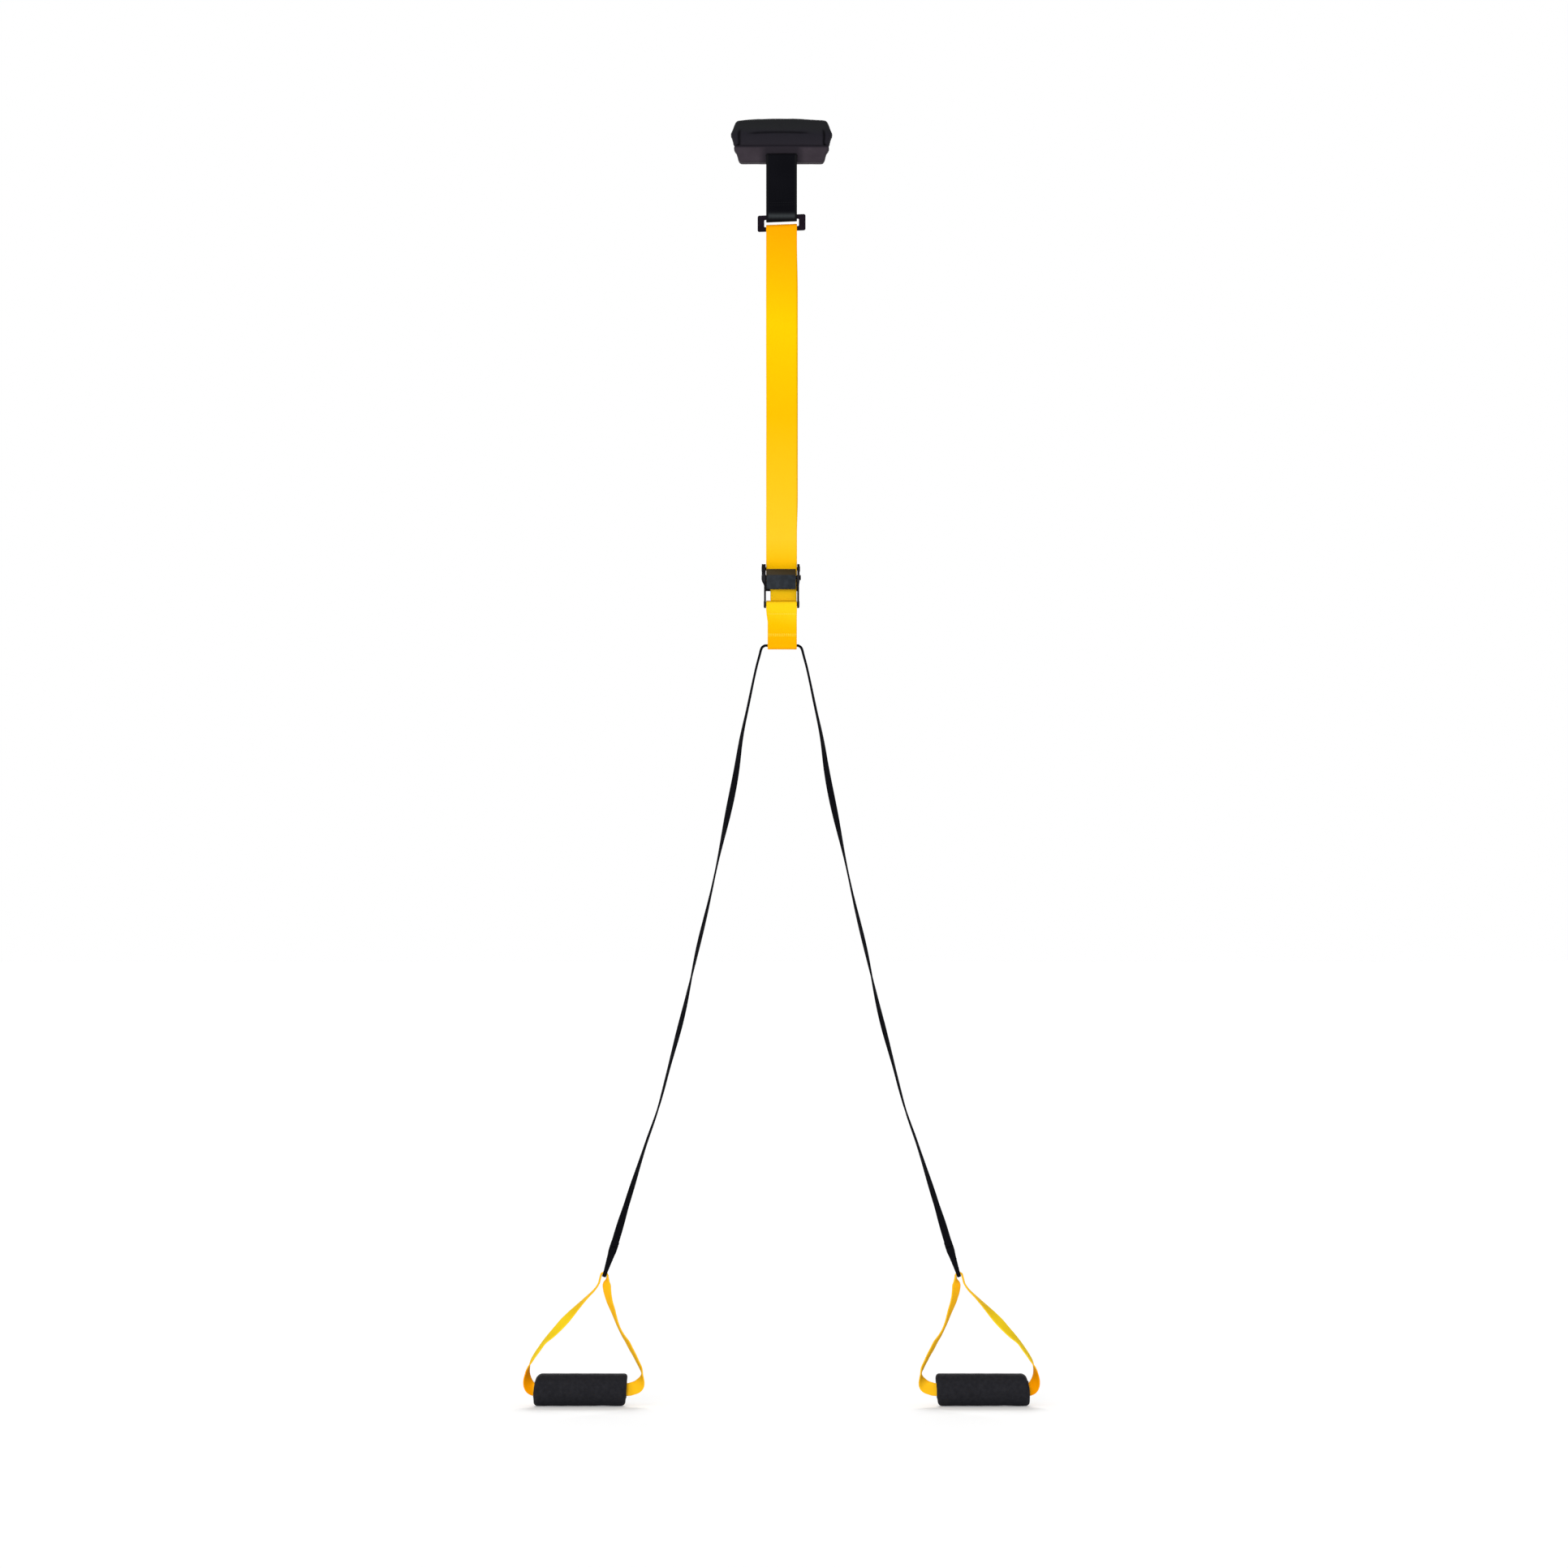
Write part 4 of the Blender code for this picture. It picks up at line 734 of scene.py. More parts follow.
# Door anchor: two cloth-covered foam blocks. The cover bulges between its seams.
pad = {
    "voxel": 1.7 * mm, "grow": 1.3 * mm, "frames": 20, "most": 0.9 * mm, "seamY": 22 * mm,
    "cloth": {"quality": 5, "mass": 0.3, "tension_stiffness": 12, "compression_stiffness": 12,
              "bending_stiffness": 0.3, "use_pressure": True, "uniform_pressure_force": 4.0,
              "vertex_group_mass": "held"},
    "heldWide": 2 * mm, "heldRise": 2.5 * mm, "heldLeast": 0.3, "restZ": -7.6 * mm, "depth": 44 * mm,
    "creaseZ": 9.3 * mm, "creaseX": -3 * mm, "creaseHalf": 36 * mm, "creaseEnds": (42 * mm, 26 * mm),
    "creaseBow": 1.2 * mm, "creaseDeep": 1.3 * mm, "creaseWide": 1.2 * mm, "frontTo": 12 * mm,
    "sideX": 51.8 * mm, "sideLean": 0.12, "sideMiddle": 2 * mm, "sideTop": (15 * mm, 9 * mm),
    "sideDeep": 1.2 * mm, "sideWide": 1.7 * mm, "seamDeep": 0.8 * mm, "seamWide": 1.2 * mm,
    "wrinkle": 0.3 * mm, "waistDrop": 2.4 * mm, "upperWaist": (-1 * mm, -4.5 * mm, 11 * mm),
    "upperReach": [(-8, 1.07), (-5, 1.032), (-2, 1.019), (1, 1.016), (8, 1.028), (14, 1.018), (20, 1.012)],
    "topRise": 0.7 * mm, "topZ": (10 * mm, 24 * mm),
    "lowerVoxel": 1.3 * mm, "lowerWrinkle": 0.25 * mm, "baseRise": 2.5 * mm,
    "lowerWaist": (-13 * mm, -11 * mm, 3.5 * mm),
    "lowerReach": [(-27.5, 1.02), (-24, 1.025), (-19, 1.002), (-16, 0.988), (-13, 1), (-11, 1.017),
                   (-9, 1.037), (-7, 1.05)],
    "slotDrop": 2.6 * mm, "slotX": (30 * mm, 22 * mm), "slotTop": (-9 * mm, -14 * mm),
    "slotFoot": (-26.5 * mm, -20.5 * mm), "bottomDrop": 1.0 * mm, "bottomZ": (-18 * mm, -26 * mm),
    "stitchAside": 3.2 * mm, "stitchOut": 9 * mm, "stitchStep": 2 * mm, "stitchIn": 0.18,
    "stitchLift": -0.05 * mm, "stitch": (3.2 * mm, 2.5 * mm, 0.5 * mm),
}


def remeshedCopy(node, name, look, voxel):
    obj = linked(name, bpy.data.objects[node].data.copy(), look)
    remesh = obj.modifiers.new("remesh", "REMESH")
    remesh.mode = "VOXEL"
    remesh.voxel_size = voxel
    remesh.use_smooth_shade = True
    return painted(baked(obj), look)


def movedAlongNormals(obj, distanceAt):
    normals = [vertex.normal.copy() for vertex in obj.data.vertices]
    for vertex, normal in zip(obj.data.vertices, normals):
        vertex.co += normal * distanceAt(vertex.co)
    obj.data.update()


# Cloth under pressure, held at its seams, with the movement of each point capped.
def blownUp(obj, most, heldAt):
    held = obj.vertex_groups.new(name="held")
    for vertex in obj.data.vertices:
        share = heldAt(vertex.co)
        if share > 0:
            held.add([vertex.index], share, "REPLACE")
    before = [vertex.co.copy() for vertex in obj.data.vertices]
    cloth = obj.modifiers.new("cloth", "CLOTH")
    for label, value in pad["cloth"].items():
        setattr(cloth.settings, label, value)
    cloth.settings.effector_weights.gravity = 0
    cloth.point_cache.frame_start = 1
    cloth.point_cache.frame_end = pad["frames"]
    for number in range(1, pad["frames"] + 1):
        bpy.context.scene.frame_set(number)
    baked(obj)
    for vertex, was in zip(obj.data.vertices, before):
        move = vertex.co - was
        if move.length > most:
            move *= most / move.length
        vertex.co = was + move
    obj.vertex_groups.clear()
    obj.data.update()


def subdivided(obj):
    smooth = obj.modifiers.new("smooth", "SUBSURF")
    smooth.levels = 1
    smooth.render_levels = 1
    baked(obj)
    obj.data.shade_smooth()
    return obj


def groove(distance, wide):
    return math.exp(-(distance / wide) ** 2)


# How much of the crease, the side folds and the seam there is at a point of the upper block.
def padLines(co):
    crease, side = 0.0, 0.0
    if co.y < pad["frontTo"]:
        fade = smoothStep(*pad["creaseEnds"], abs(co.x - pad["creaseX"]))
        line = pad["creaseZ"] - pad["creaseBow"] * (co.x / pad["creaseHalf"]) ** 2
        crease = fade * groove(co.z - line, pad["creaseWide"])
        sideX = pad["sideX"] - pad["sideLean"] * abs(co.z - pad["sideMiddle"])
        side = smoothStep(*pad["sideTop"], co.z) * groove(abs(co.x) - sideX, pad["sideWide"])
    return crease, side, groove(co.y - pad["seamY"], pad["seamWide"])


def padRelief(co):
    crease, side, seam = padLines(co)
    wrinkle = noise.noise(co * 60) + 0.5 * noise.noise(co * 140)
    return (pad["wrinkle"] * wrinkle - pad["creaseDeep"] * crease - pad["sideDeep"] * side
            - pad["seamDeep"] * seam)


# Keeps how deep in a line each point lies, for the cloth's colour.
def shadeGrooves(obj):
    shade = obj.data.attributes.new("grooveShade", "FLOAT", "POINT")
    for vertex, value in zip(obj.data.vertices, shade.data):
        crease, side, seam = padLines(vertex.co)
        value.value = min(1.0, 0.8 * crease + side + 0.5 * seam)


# How far a point lies behind the nearer of the front and back panels.
def edgeDepth(co):
    return min(co.y, pad["depth"] - co.y)


# Carries the rounded edges at the waist towards each other, so that little of a groove is left.
def closedWaist(obj, move, high, low, deep):
    for vertex in obj.data.vertices:
        co = vertex.co
        co.z += move * smoothStep(high, low, co.z) * smoothStep(deep, 0.0, edgeDepth(co))


def shapeUpper(obj):
    for vertex in obj.data.vertices:
        co = vertex.co
        co.x *= tableValue(pad["upperReach"], max(co.z / mm, -8.0))
        co.z += pad["topRise"] * smoothStep(*pad["topZ"], co.z)


# The block's outline, and the strap's slot a little lower than in the solid.
def shapeLower(obj):
    for vertex in obj.data.vertices:
        co = vertex.co
        z = co.z
        co.x *= tableValue(pad["lowerReach"], max(z / mm, -27.5))
        slot = smoothStep(*pad["slotTop"], z) * smoothStep(*pad["slotFoot"], z)
        slot *= smoothStep(*pad["slotX"], abs(co.x))
        co.z -= pad["slotDrop"] * slot + pad["bottomDrop"] * smoothStep(*pad["bottomZ"], z)


# Points laid on an object's surface.
def surfaceRow(obj, points, lift):
    tree = BVHTree.FromObject(obj, bpy.context.evaluated_depsgraph_get())
    row = []
    for point in points:
        spot, normal = tree.find_nearest(point)[:2]
        row.append(spot + normal * lift)
    return row


def buildPad():
    upper = remeshedCopy("anchor_foam_core", "padUpper", padCloth, pad["voxel"])
    movedAlongNormals(upper, lambda co: pad["grow"])
    closedWaist(upper, -pad["waistDrop"], *pad["upperWaist"])

    def heldAt(co):
        seam = groove(co.y - pad["seamY"], pad["heldWide"])
        return 1.0 if co.z < pad["restZ"] + pad["heldRise"] else (seam if seam > pad["heldLeast"] else 0.0)

    blownUp(upper, pad["most"], heldAt)
    subdivided(upper)
    shadeGrooves(upper)
    movedAlongNormals(upper, padRelief)
    shapeUpper(upper)
    place(upper, "door_anchor", "pad_fabric", "anchor_cover_front", "anchor_cover_rear", "anchor_foam_core")

    lower = remeshedCopy("anchor_base", "padLower", baseCloth, pad["lowerVoxel"])
    closedWaist(lower, pad["baseRise"], *pad["lowerWaist"])
    movedAlongNormals(lower, lambda co: pad["lowerWrinkle"] * noise.noise(co * 90))
    shapeLower(lower)
    place(lower, "door_anchor", "base_fabric", "anchor_base")

    low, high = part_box("anchor_foam_core")
    rows = []
    for side in (-1, 1):
        y = pad["seamY"] + side * pad["stitchAside"]
        right, top = high.x + pad["stitchOut"], high.z + pad["stitchOut"]
        loop = [(right, low.z), (right, top), (0, top), (-right, top), (-right, low.z)]
        around = evenRoute([(x, y, z) for x, z in loop], pad["stitchStep"])
        toward = Vector((0, y, (low.z + high.z) / 2))
        inward = [Vector(p).lerp(toward, pad["stitchIn"]) for p in around]
        rows.append(surfaceRow(upper, inward, pad["stitchLift"]))
    place(stitches("padStitches", rows, darkThread, *pad["stitch"]), "door_anchor", "pad_fabric")

    rod = painted(bpy.data.objects["anchor_core_rod"], blackPlastic)


buildPad()
print("door anchor")


anchorPlaces = {
    "exitZ": -19.6 * mm, "barZ": -95.75 * mm, "eye": 5.2 * mm, "neck": 14 * mm, "inside": 15 * mm,
    "outerOffset": 1.2 * mm, "outerBend": 2 * mm, "innerOffset": 2.2 * mm, "innerBend": 1.4 * mm,
    "bendAbove": 1 * mm, "bendBelow": 9 * mm, "rows": (1 * mm, 4 * mm), "rowHalf": 16 * mm,
    "stitch": (2.6 * mm, 2.1 * mm, 0.55 * mm),
}


# Two layers from inside the lower block down to an eye round the ring's upper bar.
def buildAnchorStrap():
    p = anchorPlaces
    half = web["thickness"] / 2
    exitZ = p["exitZ"]
    neckZ = p["barZ"] + p["neck"]
    path = [(p["inside"], exitZ + half)]
    path += arcPoints((axisY + p["outerOffset"], exitZ - p["outerOffset"]), p["outerBend"],
                      math.pi / 2, math.pi, 8)
    path += [(axisY - half, neckZ)]
    path += eyePoints((axisY, p["barZ"]), p["eye"], half, p["neck"], True)
    path += [(axisY + half, neckZ)]
    path += arcPoints((axisY + p["innerOffset"], exitZ - p["innerOffset"]), p["innerBend"],
                      math.pi, math.pi / 2, 8)
    path += [(p["inside"], exitZ - half)]
    obj = tilted(webbing("anchorStrap", bandStations(path), blackWeb))
    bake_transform(obj)
    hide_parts("anchor_strap", "anchor_strap_root")
    rows = []
    for face in (-1, 1):
        y = axisY + face * (web["thickness"] + sewing["lift"])
        for rise in p["rows"]:
            rows.append(lineBetween((-p["rowHalf"], y, neckZ + rise), (p["rowHalf"], y, neckZ + rise)))
    sewn = tilted(stitches("anchorStitches", rows, darkThread, *p["stitch"]))
    place(sewn, "anchor_strap", "black_webbing")


buildAnchorStrap()
print("anchor strap")


# A welded copy of a CAD node's mesh, with its sharp edges rounded over. It can first be cut across at
# some heights and bent.
def cadCopy(node, name, look, bevel=0.0, segments=3, cuts=(), bend=None):
    mesh = bpy.data.objects[node].data.copy()
    shape = bmesh.new()
    shape.from_mesh(mesh)
    bmesh.ops.remove_doubles(shape, verts=shape.verts, dist=0.01 * mm)
    bmesh.ops.dissolve_limit(shape, angle_limit=math.radians(2), verts=shape.verts, edges=shape.edges)
    for height in cuts:
        everything = shape.verts[:] + shape.edges[:] + shape.faces[:]
        bmesh.ops.bisect_plane(shape, geom=everything, plane_co=(0, 0, height), plane_no=(0, 0, 1))
    if bend:
        for vertex in shape.verts:
            bend(vertex.co)
    bmesh.ops.recalc_face_normals(shape, faces=shape.faces)
    shape.to_mesh(mesh)
    shape.free()
    obj = linked(name, mesh, look)
    if bevel:
        edges = obj.modifiers.new("edges", "BEVEL")
        edges.width = bevel
        edges.segments = segments
        edges.limit_method = "ANGLE"
        edges.angle_limit = math.radians(40)
        edges.harden_normals = True
        obj.data.shade_smooth()
        baked(obj)
    obj.data.set_sharp_from_angle(angle=math.radians(35))
    return obj


ring = tilted(cadCopy("anchor_ring", "ring", ringSteel, 0.7 * mm, 4))
place(ring, "anchor_ring", "black_steel", "anchor_ring")
print("ring")


# Adjusting strap. The two layers bow apart a little, never towards each other. The free tail below the
# cam is drawn together and lies to the right. keepGap stays open at the end of the buckle's slide.
strapPlaces = {
    "front": -4.3 * mm, "rear": -2.1 * mm, "ringBarZ": -110.25 * mm, "eye": 4.85 * mm, "neck": 13 * mm,
    "tailZ": -615 * mm, "split": -495 * mm, "barY": 1.2 * mm, "barZ": -529 * mm, "barEye": 3.3 * mm,
    "returnZ": -483 * mm, "returnY": -0.2 * mm, "slide": 300 * mm,
    "bow": 0.14 * mm, "sway": 0.5 * mm, "rearSide": 1.0 * mm, "tailBack": 1.0 * mm,
    "pressFoot": -556.5 * mm, "tailRun": 12 * mm, "tailSide": 2.4 * mm, "tailShare": 0.85,
    "bunchZ": (-541 * mm, -555 * mm), "freeTop": (-125 * mm, -190 * mm), "freeFoot": (-488 * mm, -440 * mm),
    "returnRise": 12 * mm, "boxHalf": 15 * mm, "boxFoot": 15 * mm, "boxTop": 4 * mm, "keepGap": 0.2 * mm,
}


# 0 where a layer is held near the ring and the buckle, 1 where it hangs free.
def freeShare(z):
    p = strapPlaces
    return smoothStep(*p["freeTop"], z) * smoothStep(*p["freeFoot"], z)


def frontShift(z):
    p = strapPlaces
    free = freeShare(z)
    dx = p["sway"] * free * noise.noise(Vector((1.3, 0.4, z * 13)))
    dy = -p["bow"] * free * (0.5 + 0.7 * noise.noise(Vector((4.1, 2.2, z * 9))))
    away = smoothStep(p["pressFoot"], p["pressFoot"] - p["tailRun"], z)
    bunched = smoothStep(*p["bunchZ"], z)
    share = 1 - (1 - p["tailShare"]) * bunched
    return dx + p["tailSide"] * bunched, dy + p["tailBack"] * away, share


def rearShift(z):
    p = strapPlaces
    free = freeShare(z)
    dy = p["bow"] * free * (0.5 + 0.7 * noise.noise(Vector((7.7, 5.2, z * 8))))
    return p["rearSide"] * free, dy, 1.0


# Front layer with its eye and tail, the rear layer, and the rear layer's sewn end at the buckle.
def buildMainStrap():
    p = strapPlaces
    half = (p["rear"] - p["front"]) / 2
    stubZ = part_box("main_strap_rear")[1].z
    neckZ = p["ringBarZ"] - p["neck"]
    eye = eyePoints((axisY, p["ringBarZ"]), p["eye"], half, p["neck"], False)
    path = [(p["rear"], stubZ), (p["rear"], neckZ)] + eye + [(p["front"], neckZ), (p["front"], p["tailZ"])]
    front = tilted(webbing("mainStrap", bandStations(path, frontShift), mainYellow))
    place(front, "main_strap", "yellow_webbing", "main_strap")

    path = [(p["rear"], stubZ), (p["rear"], p["split"])]
    rear = tilted(webbing("mainStrapRear", bandStations(path, rearShift), mainYellow))
    place(rear, "main_strap", "yellow_webbing", "main_strap_rear")
    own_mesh(rear)

    path = [(p["rear"], p["split"])]
    path += arcPoints((p["barY"], p["barZ"]), p["barEye"], math.pi, 2 * math.pi)
    path += [(p["returnY"], p["barZ"] + p["returnRise"]), (p["returnY"], p["returnZ"])]
    place(webbing("rearStrapEnd", bandStations(path), mainYellow), "buckle", "yellow_webbing")
    y = p["returnY"] + web["thickness"] / 2 + sewing["lift"]
    rows = boxAndCross(p["boxHalf"], y, p["barZ"] + p["boxFoot"], p["returnZ"] - p["boxTop"])
    place(stitches("rearStitches", rows, orangeThread), "buckle", "yellow_webbing")


buildMainStrap()
print("adjusting strap")


loopPlaces = {
    "y": -10.3 * mm, "barZ": -572.7 * mm, "foldZ": -623.6 * mm, "layer": 1.7 * mm, "barEye": 3.65 * mm,
    "foldEye": 4.05 * mm, "upperNeck": 11 * mm, "lowerNeck": 11.5 * mm, "narrowZ": (-578 * mm, -596 * mm),
    "share": 0.945, "side": 0.8 * mm, "rowHalf": 16.1 * mm, "rowSide": 0.7 * mm,
    "lowerRows": (0.6 * mm, 2.6 * mm), "upperRow": 1 * mm, "stitch": (2.6 * mm, 2.4 * mm, 0.8 * mm),
}


def loopShift(z):
    p = loopPlaces
    low = smoothStep(*p["narrowZ"], z)
    return p["side"] * low, 0.0, 1 - (1 - p["share"]) * low


# A closed band from the buckle's lower bar to the fold, sewn through at both ends.
def buildLowerLoop():
    p = loopPlaces
    half = p["layer"] / 2
    upperZ = p["barZ"] - p["upperNeck"]
    lowerZ = p["foldZ"] + p["lowerNeck"]
    path = eyePoints((p["y"], p["barZ"]), p["barEye"], half, p["upperNeck"], False)
    path += [(p["y"] - half, upperZ), (p["y"] - half, lowerZ)]
    path += eyePoints((p["y"], p["foldZ"]), p["foldEye"], half, p["lowerNeck"], True)
    path += [(p["y"] + half, lowerZ), (p["y"] + half, upperZ)]
    loop = webbing("lowerLoop", bandStations(path, loopShift, closed=True), loopYellow, closed=True)
    place(loop, "buckle", "yellow_webbing", "lower_loop")
    rows = []
    for side in (-1, 1):
        y = p["y"] + side * (half + web["thickness"] / 2 + sewing["lift"])
        for z in [lowerZ + rise for rise in p["lowerRows"]] + [upperZ - p["upperRow"]]:
            rows.append(lineBetween(*[(p["rowSide"] + end * p["rowHalf"], y, z) for end in (-1, 1)]))
    place(stitches("loopStitches", rows, paleThread, *p["stitch"]), "buckle", "yellow_webbing")


buildLowerLoop()
print("lower loop")


# Buckle. The cheeks are broad beside the cam, the left one more so, and set in below it, close to the
# lower loop. A pair of values is for the left and the right side. The lever's top is drawn up a little.
buckle = {"inside": 15 * mm, "middle": 21.8 * mm, "setIn": 1.4 * mm,
          "stepHigh": -543 * mm, "stepLow": -550 * mm, "steps": 4,
          "upper": ((19.5 * mm, 24.4 * mm), (19.3 * mm, 22.3 * mm)),
          "heads": {"buckle_upper_bar": (0.0, 1.9 * mm), "cam_pin": (0.0, 0.9 * mm),
                    "buckle_lower_bar": (2.7 * mm, 2.7 * mm)},
          "leverTop": -536.5 * mm, "drawnUp": 0.2, "leverFront": -15 * mm, "leverRight": 0.95}


def cheekShape(co):
    if abs(co.x) > buckle["inside"]:
        upper = buckle["upper"][co.x > 0][abs(co.x) > buckle["middle"]]
        lower = abs(co.x) - buckle["setIn"]
        share = smoothStep(buckle["stepHigh"], buckle["stepLow"], co.z)
        co.x = math.copysign(upper + (lower - upper) * share, co.x)


# Moves a bar's two heads inwards.
def headShape(node):
    moves = buckle["heads"][node]

    def shaped(co):
        if abs(co.x) > buckle["middle"]:
            co.x -= math.copysign(moves[co.x > 0], co.x)

    return shaped


def leverShape(co):
    if co.z > buckle["leverTop"] and co.y < buckle["leverFront"]:
        co.z += buckle["drawnUp"] * (co.z - buckle["leverTop"])
    if co.x > 0:
        co.x *= buckle["leverRight"]


def buildBuckle():
    high, low = buckle["stepHigh"], buckle["stepLow"]
    cuts = [high + (low - high) * k / buckle["steps"] for k in range(buckle["steps"] + 1)]
    frameCopy = cadCopy("buckle_frame", "buckleFrame", buckleSteel, 0.45 * mm, 3, cuts, cheekShape)
    place(frameCopy, "buckle", "black_steel", "buckle_frame")
    bars = {"buckle_upper_bar": "upperBar", "buckle_lower_bar": "lowerBar", "cam_pin": "camPin"}
    for node, name in bars.items():
        bar = cadCopy(node, name, buckleSteel, 0.25 * mm, 2, (), headShape(node))
        place(bar, "buckle", "black_steel", node)
    lever = cadCopy("cam_lever", "camLever", leverSteel, 0.4 * mm, 3, [buckle["leverTop"]], leverShape)
    place(lever, "cam_lever", "black_steel", "cam_lever")


buildBuckle()


# Torsion spring of the cam: a coil along X with both ends turned down.
spring = {"y": -11.5 * mm, "z": -540 * mm, "mean": 2.75 * mm, "wire": 0.9 * mm, "turns": 4, "sides": 28,
          "span": 6 * mm, "drop": 5 * mm}


def buildSpring():
    p = spring
    data = bpy.data.curves.new("camSpring", "CURVE")
    data.dimensions = "3D"
    data.bevel_depth = p["wire"] / 2
    data.bevel_resolution = 4
    data.use_fill_caps = True
    count = p["turns"] * p["sides"]
    points = []
    for k in range(count + 1):
        angle = 2 * math.pi * k / p["sides"]
        points.append(Vector((p["span"] * (k / count - 0.5), p["y"] + p["mean"] * math.cos(angle),
                              p["z"] + p["mean"] * math.sin(angle))))
    down = Vector((0, 0, -p["drop"]))
    points = [points[0] + down] + points + [points[-1] + down]
    spline = data.splines.new("POLY")
    spline.points.add(len(points) - 1)
    for point, spot in zip(spline.points, points):
        point.co = (*spot, 1)
    curve = bpy.data.objects.new("camSpring", data)
    bpy.context.scene.collection.objects.link(curve)
    mesh = evaluatedMesh(curve)
    bpy.data.objects.remove(curve)
    obj = linked("camSpring", mesh, platedSteel)
    obj.data.shade_smooth()
    place(obj, "buckle", "bright_steel", "cam_spring")


buildSpring()
print("buckle")


# Black strap: one flat strap from handle to handle, bunched where it lies in the fold.
legs = {
    "startX": 20.5 * mm, "reach": 198 * mm, "drop": 776.4 * mm, "y": -10.3 * mm, "foldZ": -623.6 * mm,
    "width": 10 * mm, "thickness": 2.2 * mm, "bunchWidth": 5 * mm, "bunchThickness": 3 * mm,
    "bunchStep": 2 * mm, "bunchSteps": 10, "taper": 0.07, "lean": (0.9, 0.95), "spacing": 1.6 * mm,
    "endCut": 38.8 * mm, "foldSteps": 24, "stitch": (1.5 * mm, 1.3 * mm, 0.5 * mm),
    "foldRadius": 4.8 * mm, "foldShape": 0.6, "foldWidth": 5 * mm, "foldThickness": 2 * mm,
    "return": 40 * mm, "layerGap": 0.3 * mm, "rowHalf": 3.6 * mm, "rows": (0.42, 0.5, 0.88, 0.95),
    "bendFrom": (12 * mm, 0.0), "bendTo": (30 * mm, 6 * mm),
    "route": [(0, 0), (.02, .004), (.035, .017), (.061, .043), (.104, .095), (.146, .146),
              (.177, .198), (.21, .243), (.28, .326), (.346, .404), (.424, .487), (.503, .578),
              (.588, .661), (.662, .732),
              (.74, .79), (.818, .852), (.884, .906), (.937, .951), (.972, .979), (1, 1)],
    "turns": [(0, 0), (.1, 8), (.24, 48), (.36, 0), (.46, -20), (.6, 30), (.68, 10), (.78, -8), (.88, -38),
              (.93, -68), (1, -75)],
    "returnWidths": [(.45, .75), (.7, 1), (1, 1)],
}


def buildLeg(sideName, side):
    p = legs
    points = [(p["startX"] + p["reach"] * reach, 0.0, p["foldZ"] - p["drop"] * drop)
              for reach, drop in p["route"]]
    aside = (p["thickness"] + p["layerGap"]) / 2
    route = smoothRoute(points, p["spacing"])
    total = len(route) - 1
    cut = round(p["endCut"] / p["spacing"])
    end = Vector(route[-1])
    down = (end - Vector(route[-1 - cut])).normalized()
    stations = [(Vector((k * p["bunchStep"], 0, p["foldZ"])), yAxis, p["bunchWidth"], p["bunchThickness"])
                for k in range(p["bunchSteps"])]
    for k, spot in enumerate(route[:-cut]):
        share = k / total
        ahead = (Vector(route[k + 1]) - Vector(route[max(k - 1, 0)])).normalized()
        across = Matrix.Rotation(math.radians(tableValue(p["turns"], share)), 3, ahead) @ yAxis
        grow = smoothStep(0, p["taper"], share)
        width = p["bunchWidth"] + (p["width"] - p["bunchWidth"]) * grow
        thickness = p["bunchThickness"] + (p["thickness"] - p["bunchThickness"]) * grow
        lean = smoothStep(*p["lean"], share)
        stations.append((Vector(spot) - yAxis * aside * lean, across, width, thickness))
    flat = down.cross(yAxis).normalized()
    bottom = end - down * p["foldRadius"]
    fold = []
    for s in range(p["foldSteps"] + 1):
        angle = math.pi * s / p["foldSteps"]
        back = math.copysign(abs(math.cos(angle)) ** p["foldShape"], -math.cos(angle))
        below = math.sin(angle) ** p["foldShape"]
        fold.append((*(bottom + (yAxis * back + down * below) * p["foldRadius"]),
                     p["foldWidth"], p["foldThickness"]))
    for up, widthShare in p["returnWidths"]:
        spot = bottom - down * p["return"] * up + yAxis * aside
        fold.append((*spot, p["width"] * widthShare, p["thickness"]))
    last = stations[-1][0]
    fold.insert(0, (*last, p["width"], p["thickness"]))
    for x, y, z, width, thickness in evenRoute(fold, p["spacing"] / 2)[1:]:
        stations.append((Vector((x, y, z)), flat, width, thickness))
    placed = [(Vector((side * m.x, m.y + p["y"], m.z)), Vector((side * a.x, a.y, a.z)), width, thickness)
              for m, a, width, thickness in stations]
    leg = webbing(sideName + "Leg", placed, legWeb)
    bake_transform(leg)
    nodes = [sideName + "_leg_strap"] + (["strap_bight"] if side > 0 else [])
    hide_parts(*nodes)
    rows = []
    for up in p["rows"]:
        middle = bottom - down * p["return"] * up
        for face in (-1, 1):
            y = face * (2 * aside + sewing["lift"] / 2)
            ends = [middle + flat * across * p["rowHalf"] + yAxis * y for across in (-1, 1)]
            rows.append(lineBetween(*[(side * v.x, v.y + p["y"], v.z) for v in ends]))
    sewn = stitches(sideName + "LegStitches", rows, darkThread, *p["stitch"])
    place(sewn, sideName + "_leg", "black_webbing")


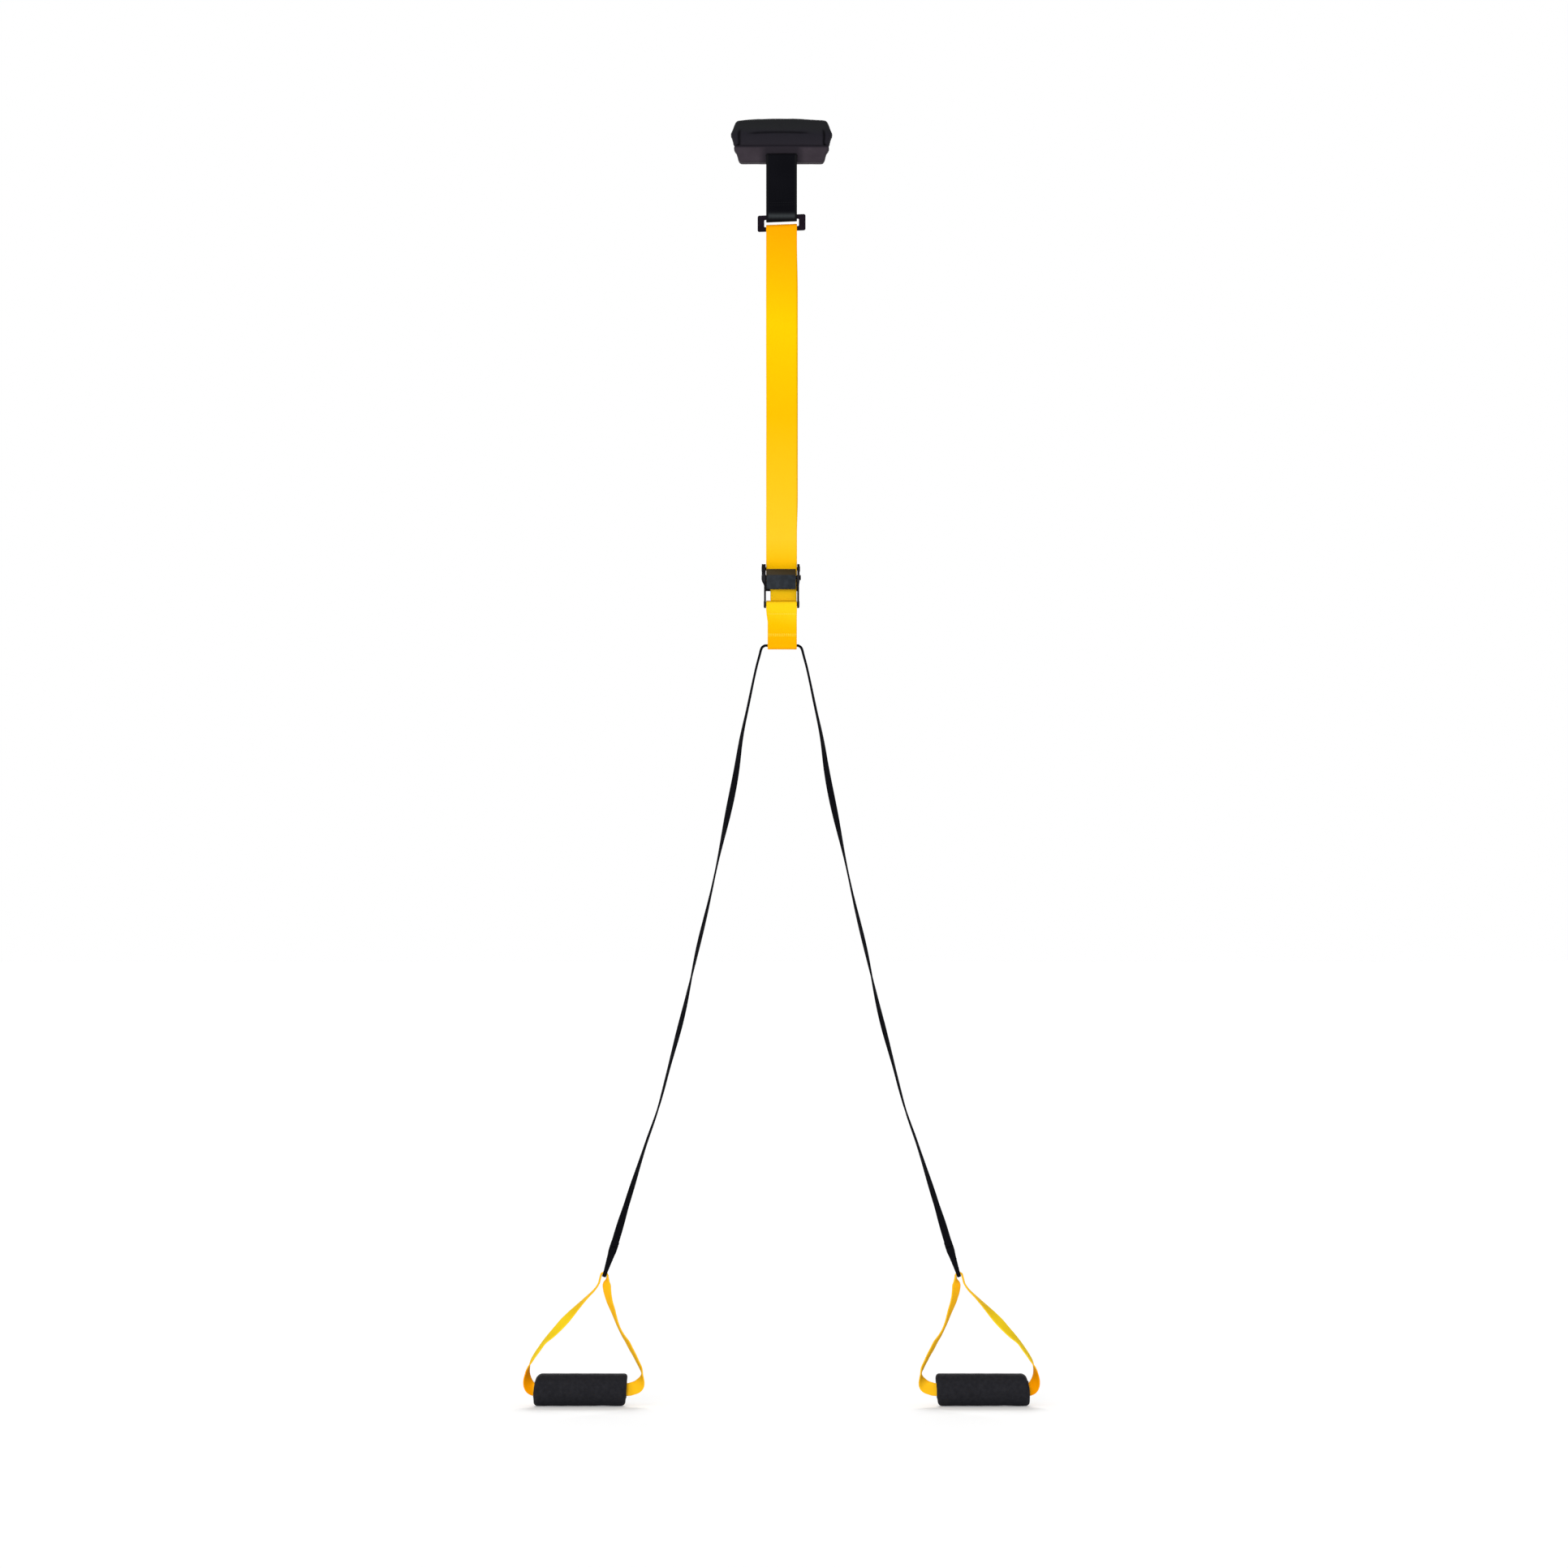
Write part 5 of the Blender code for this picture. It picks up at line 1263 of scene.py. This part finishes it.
# Handles: a loop of yellow webbing through a plastic tube with a foam sleeve. The loop's route runs
# outside down, through the grip and inside up: x and z in mm, the turn of its width from Y towards
# the loop's plane, and the share of the full width.
handle = {
    "apexX": 218.5 * mm, "apexZ": -1400 * mm, "y": -10.3 * mm, "ring": 4.3 * mm, "start": 172, "end": 38,
    "width": 16 * mm, "thickness": 1.6 * mm, "apexWidth": 6 * mm, "apexThickness": 2.4 * mm,
    "spacing": 1.3 * mm, "ringSpacing": 0.7 * mm, "ringSteps": 10,
    "route": [
        (223.4, -1402.6, 0, .1), (225.4, -1409.5, 0, .35), (230.6, -1417, -3, .7), (238.6, -1425, -6, 1),
        (246.4, -1433, -13, 1), (254, -1441, -22, 1), (261.4, -1449, -31, 1), (268.9, -1457, -35, 1),
        (276.2, -1465, -31, 1), (284, -1473, -25, 1), (292, -1481, -14, 1), (297.8, -1489, -13, 1),
        (303.4, -1497, -11, 1), (308.2, -1505, -6, 1), (311.6, -1513, 8, 1), (312.9, -1521, 22, 1),
        (312.4, -1529, 44, 1), (310, -1535.6, 68, 1), (306.4, -1538.8, 86, 1), (301, -1539.5, 90, 1),
        (275, -1539.5, 90, 1), (247.5, -1539.5, 90, 1), (220, -1539.5, 90, 1), (191, -1539.5, 90, 1),
        (184, -1538.3, 90, 1), (177.6, -1535.6, 78, 1), (173.6, -1529.5, 40, 1), (171.6, -1521, 5, 1),
        (173.4, -1513, 11, 1), (177.2, -1505, 13, 1), (181.1, -1497, 15, 1), (185.5, -1489, 17, 1),
        (189.6, -1481, 17, 1), (194.9, -1473, 12, 1), (199.2, -1465, 9, 1), (202.6, -1457, 11, 1),
        (205.3, -1449, 15, 1), (208, -1441, 21, 1), (211, -1433, 26, 1), (213.2, -1425, 31, 1),
        (214.7, -1417, 38, .95), (215.2, -1409.5, 44, .75), (214.3, -1404, 20, .35),
    ],
    "halfGrip": 58 * mm, "gripX": 247.5 * mm, "gripZ": -1539.5 * mm, "gripRadius": 20 * mm,
    "gripRound": 4.5 * mm, "outerCut": 7 * mm, "innerCut": 3 * mm,
    "bore": 11.3 * mm, "boreEdge": 1 * mm, "dents": 0.25 * mm, "foamSteps": 60, "foamSides": 96,
    "tubeOuter": 11 * mm, "tubeInner": 8.4 * mm, "tubeInset": 1.5 * mm, "tubeEdge": 0.5 * mm,
    "tubeSides": 72,
}


def buildHandleLoop(sideName, side):
    p = handle
    points = []
    for s in range(p["ringSteps"] + 1):
        angle = math.radians(p["start"] + (p["end"] - p["start"]) * s / p["ringSteps"])
        x, z = p["apexX"] + p["ring"] * math.cos(angle), p["apexZ"] + p["ring"] * math.sin(angle)
        points.append((x, 0, z, 0, 0))
    branch = [(x * mm, 0, z * mm, turn, grow) for x, z, turn, grow in p["route"]]
    branch = smoothRoute([points[-1]] + branch + [points[0]], p["spacing"])
    points = evenRoute(points, p["ringSpacing"]) + branch[1:-1]
    stations = []
    for k, (x, y, z, turn, grow) in enumerate(points):
        before, after = points[k - 1], points[(k + 1) % len(points)]
        along = Vector((after[0] - before[0], 0, after[2] - before[2])).normalized()
        inPlane = Vector((along.z, 0, -along.x))
        across = yAxis * math.cos(math.radians(turn)) + inPlane * math.sin(math.radians(turn))
        grow = min(max(grow, 0.0), 1.0)
        width = p["apexWidth"] + (p["width"] - p["apexWidth"]) * grow
        thickness = p["apexThickness"] + (p["thickness"] - p["apexThickness"]) * grow
        stations.append((Vector((side * x, y + p["y"], z)), Vector((side * across.x, across.y, across.z)),
                         width, thickness))
    loop = webbing(sideName + "HandleLoop", stations, handleYellow, closed=True)
    place(loop, sideName + "_handle", "yellow_webbing", sideName + "_handle_loop")


# A round piece along X from a closed profile of radius and distance along its axis.
def lathe(name, profile, centre, look, steps, wobble=0.0):
    shape = bmesh.new()
    rings = []
    for s in range(steps):
        angle = 2 * math.pi * s / steps
        ring = []
        for radius, along in profile:
            spot = Vector((along, radius * math.cos(angle), radius * math.sin(angle)))
            if wobble and radius > profile[0][0] * 0.7:
                spot *= 1 + wobble * noise.noise(spot * 55) / radius
            ring.append(shape.verts.new(spot + Vector(centre)))
        rings.append(ring)
    for s in range(steps):
        one, two = rings[s], rings[(s + 1) % steps]
        for k in range(len(profile)):
            after = (k + 1) % len(profile)
            shape.faces.new((one[k], one[after], two[after], two[k])).smooth = True
    return closedShape(name, shape, look)


def buildGrip(sideName, side):
    p = handle
    centre = (side * p["gripX"], p["y"], p["gripZ"])
    half = p["halfGrip"]
    straight = half - p["gripRound"]
    corner = arcPoints((p["gripRadius"] - p["gripRound"], straight), p["gripRound"], 0, math.pi / 2, 10)
    steps = p["foamSteps"]
    outer = [(p["gripRadius"], -straight + 2 * straight * s / steps) for s in range(1, steps)]
    bore, edge = p["bore"], p["boreEdge"]
    rim = corner + [(bore + edge, half), (bore, half - edge)]
    profile = outer + rim + [(radius, -along) for radius, along in rim[::-1]]
    sleeve = lathe(sideName + "GripFoam", profile, centre, gripFoam, p["foamSides"], p["dents"])
    for vertex in sleeve.data.vertices:
        along = side * (vertex.co.x - centre[0]) / half
        up = (vertex.co.z - centre[2]) / (2 * p["gripRadius"]) + 0.5
        if along > 0:
            vertex.co.x -= side * p["outerCut"] * max(up, 0) ** 4 * smoothStep(0.5, 1.0, along)
        else:
            vertex.co.x += side * p["innerCut"] * min(1 - up, 1) * smoothStep(-0.5, -1.0, along)
    place(sleeve, sideName + "_grip", "grip_foam", sideName + "_grip_foam")
    end, edge = half - p["tubeInset"], p["tubeEdge"]
    outer, inner = p["tubeOuter"], p["tubeInner"]
    tube = [(outer, -end + edge), (outer, end - edge), (outer - edge, end), (inner + edge, end),
            (inner, end - edge), (inner, -end + edge), (inner + edge, -end), (outer - edge, -end)]
    piece = lathe(sideName + "GripTube", tube, centre, blackPlastic, p["tubeSides"])
    piece.data.set_sharp_from_angle(angle=math.radians(30))
    place(piece, sideName + "_grip", "black_plastic", sideName + "_grip_tube")


for sideName, side in (("left", -1), ("right", 1)):
    buildLeg(sideName, side)
    buildHandleLoop(sideName, side)
    buildGrip(sideName, side)
    print(sideName, "strap, handle loop and grip")
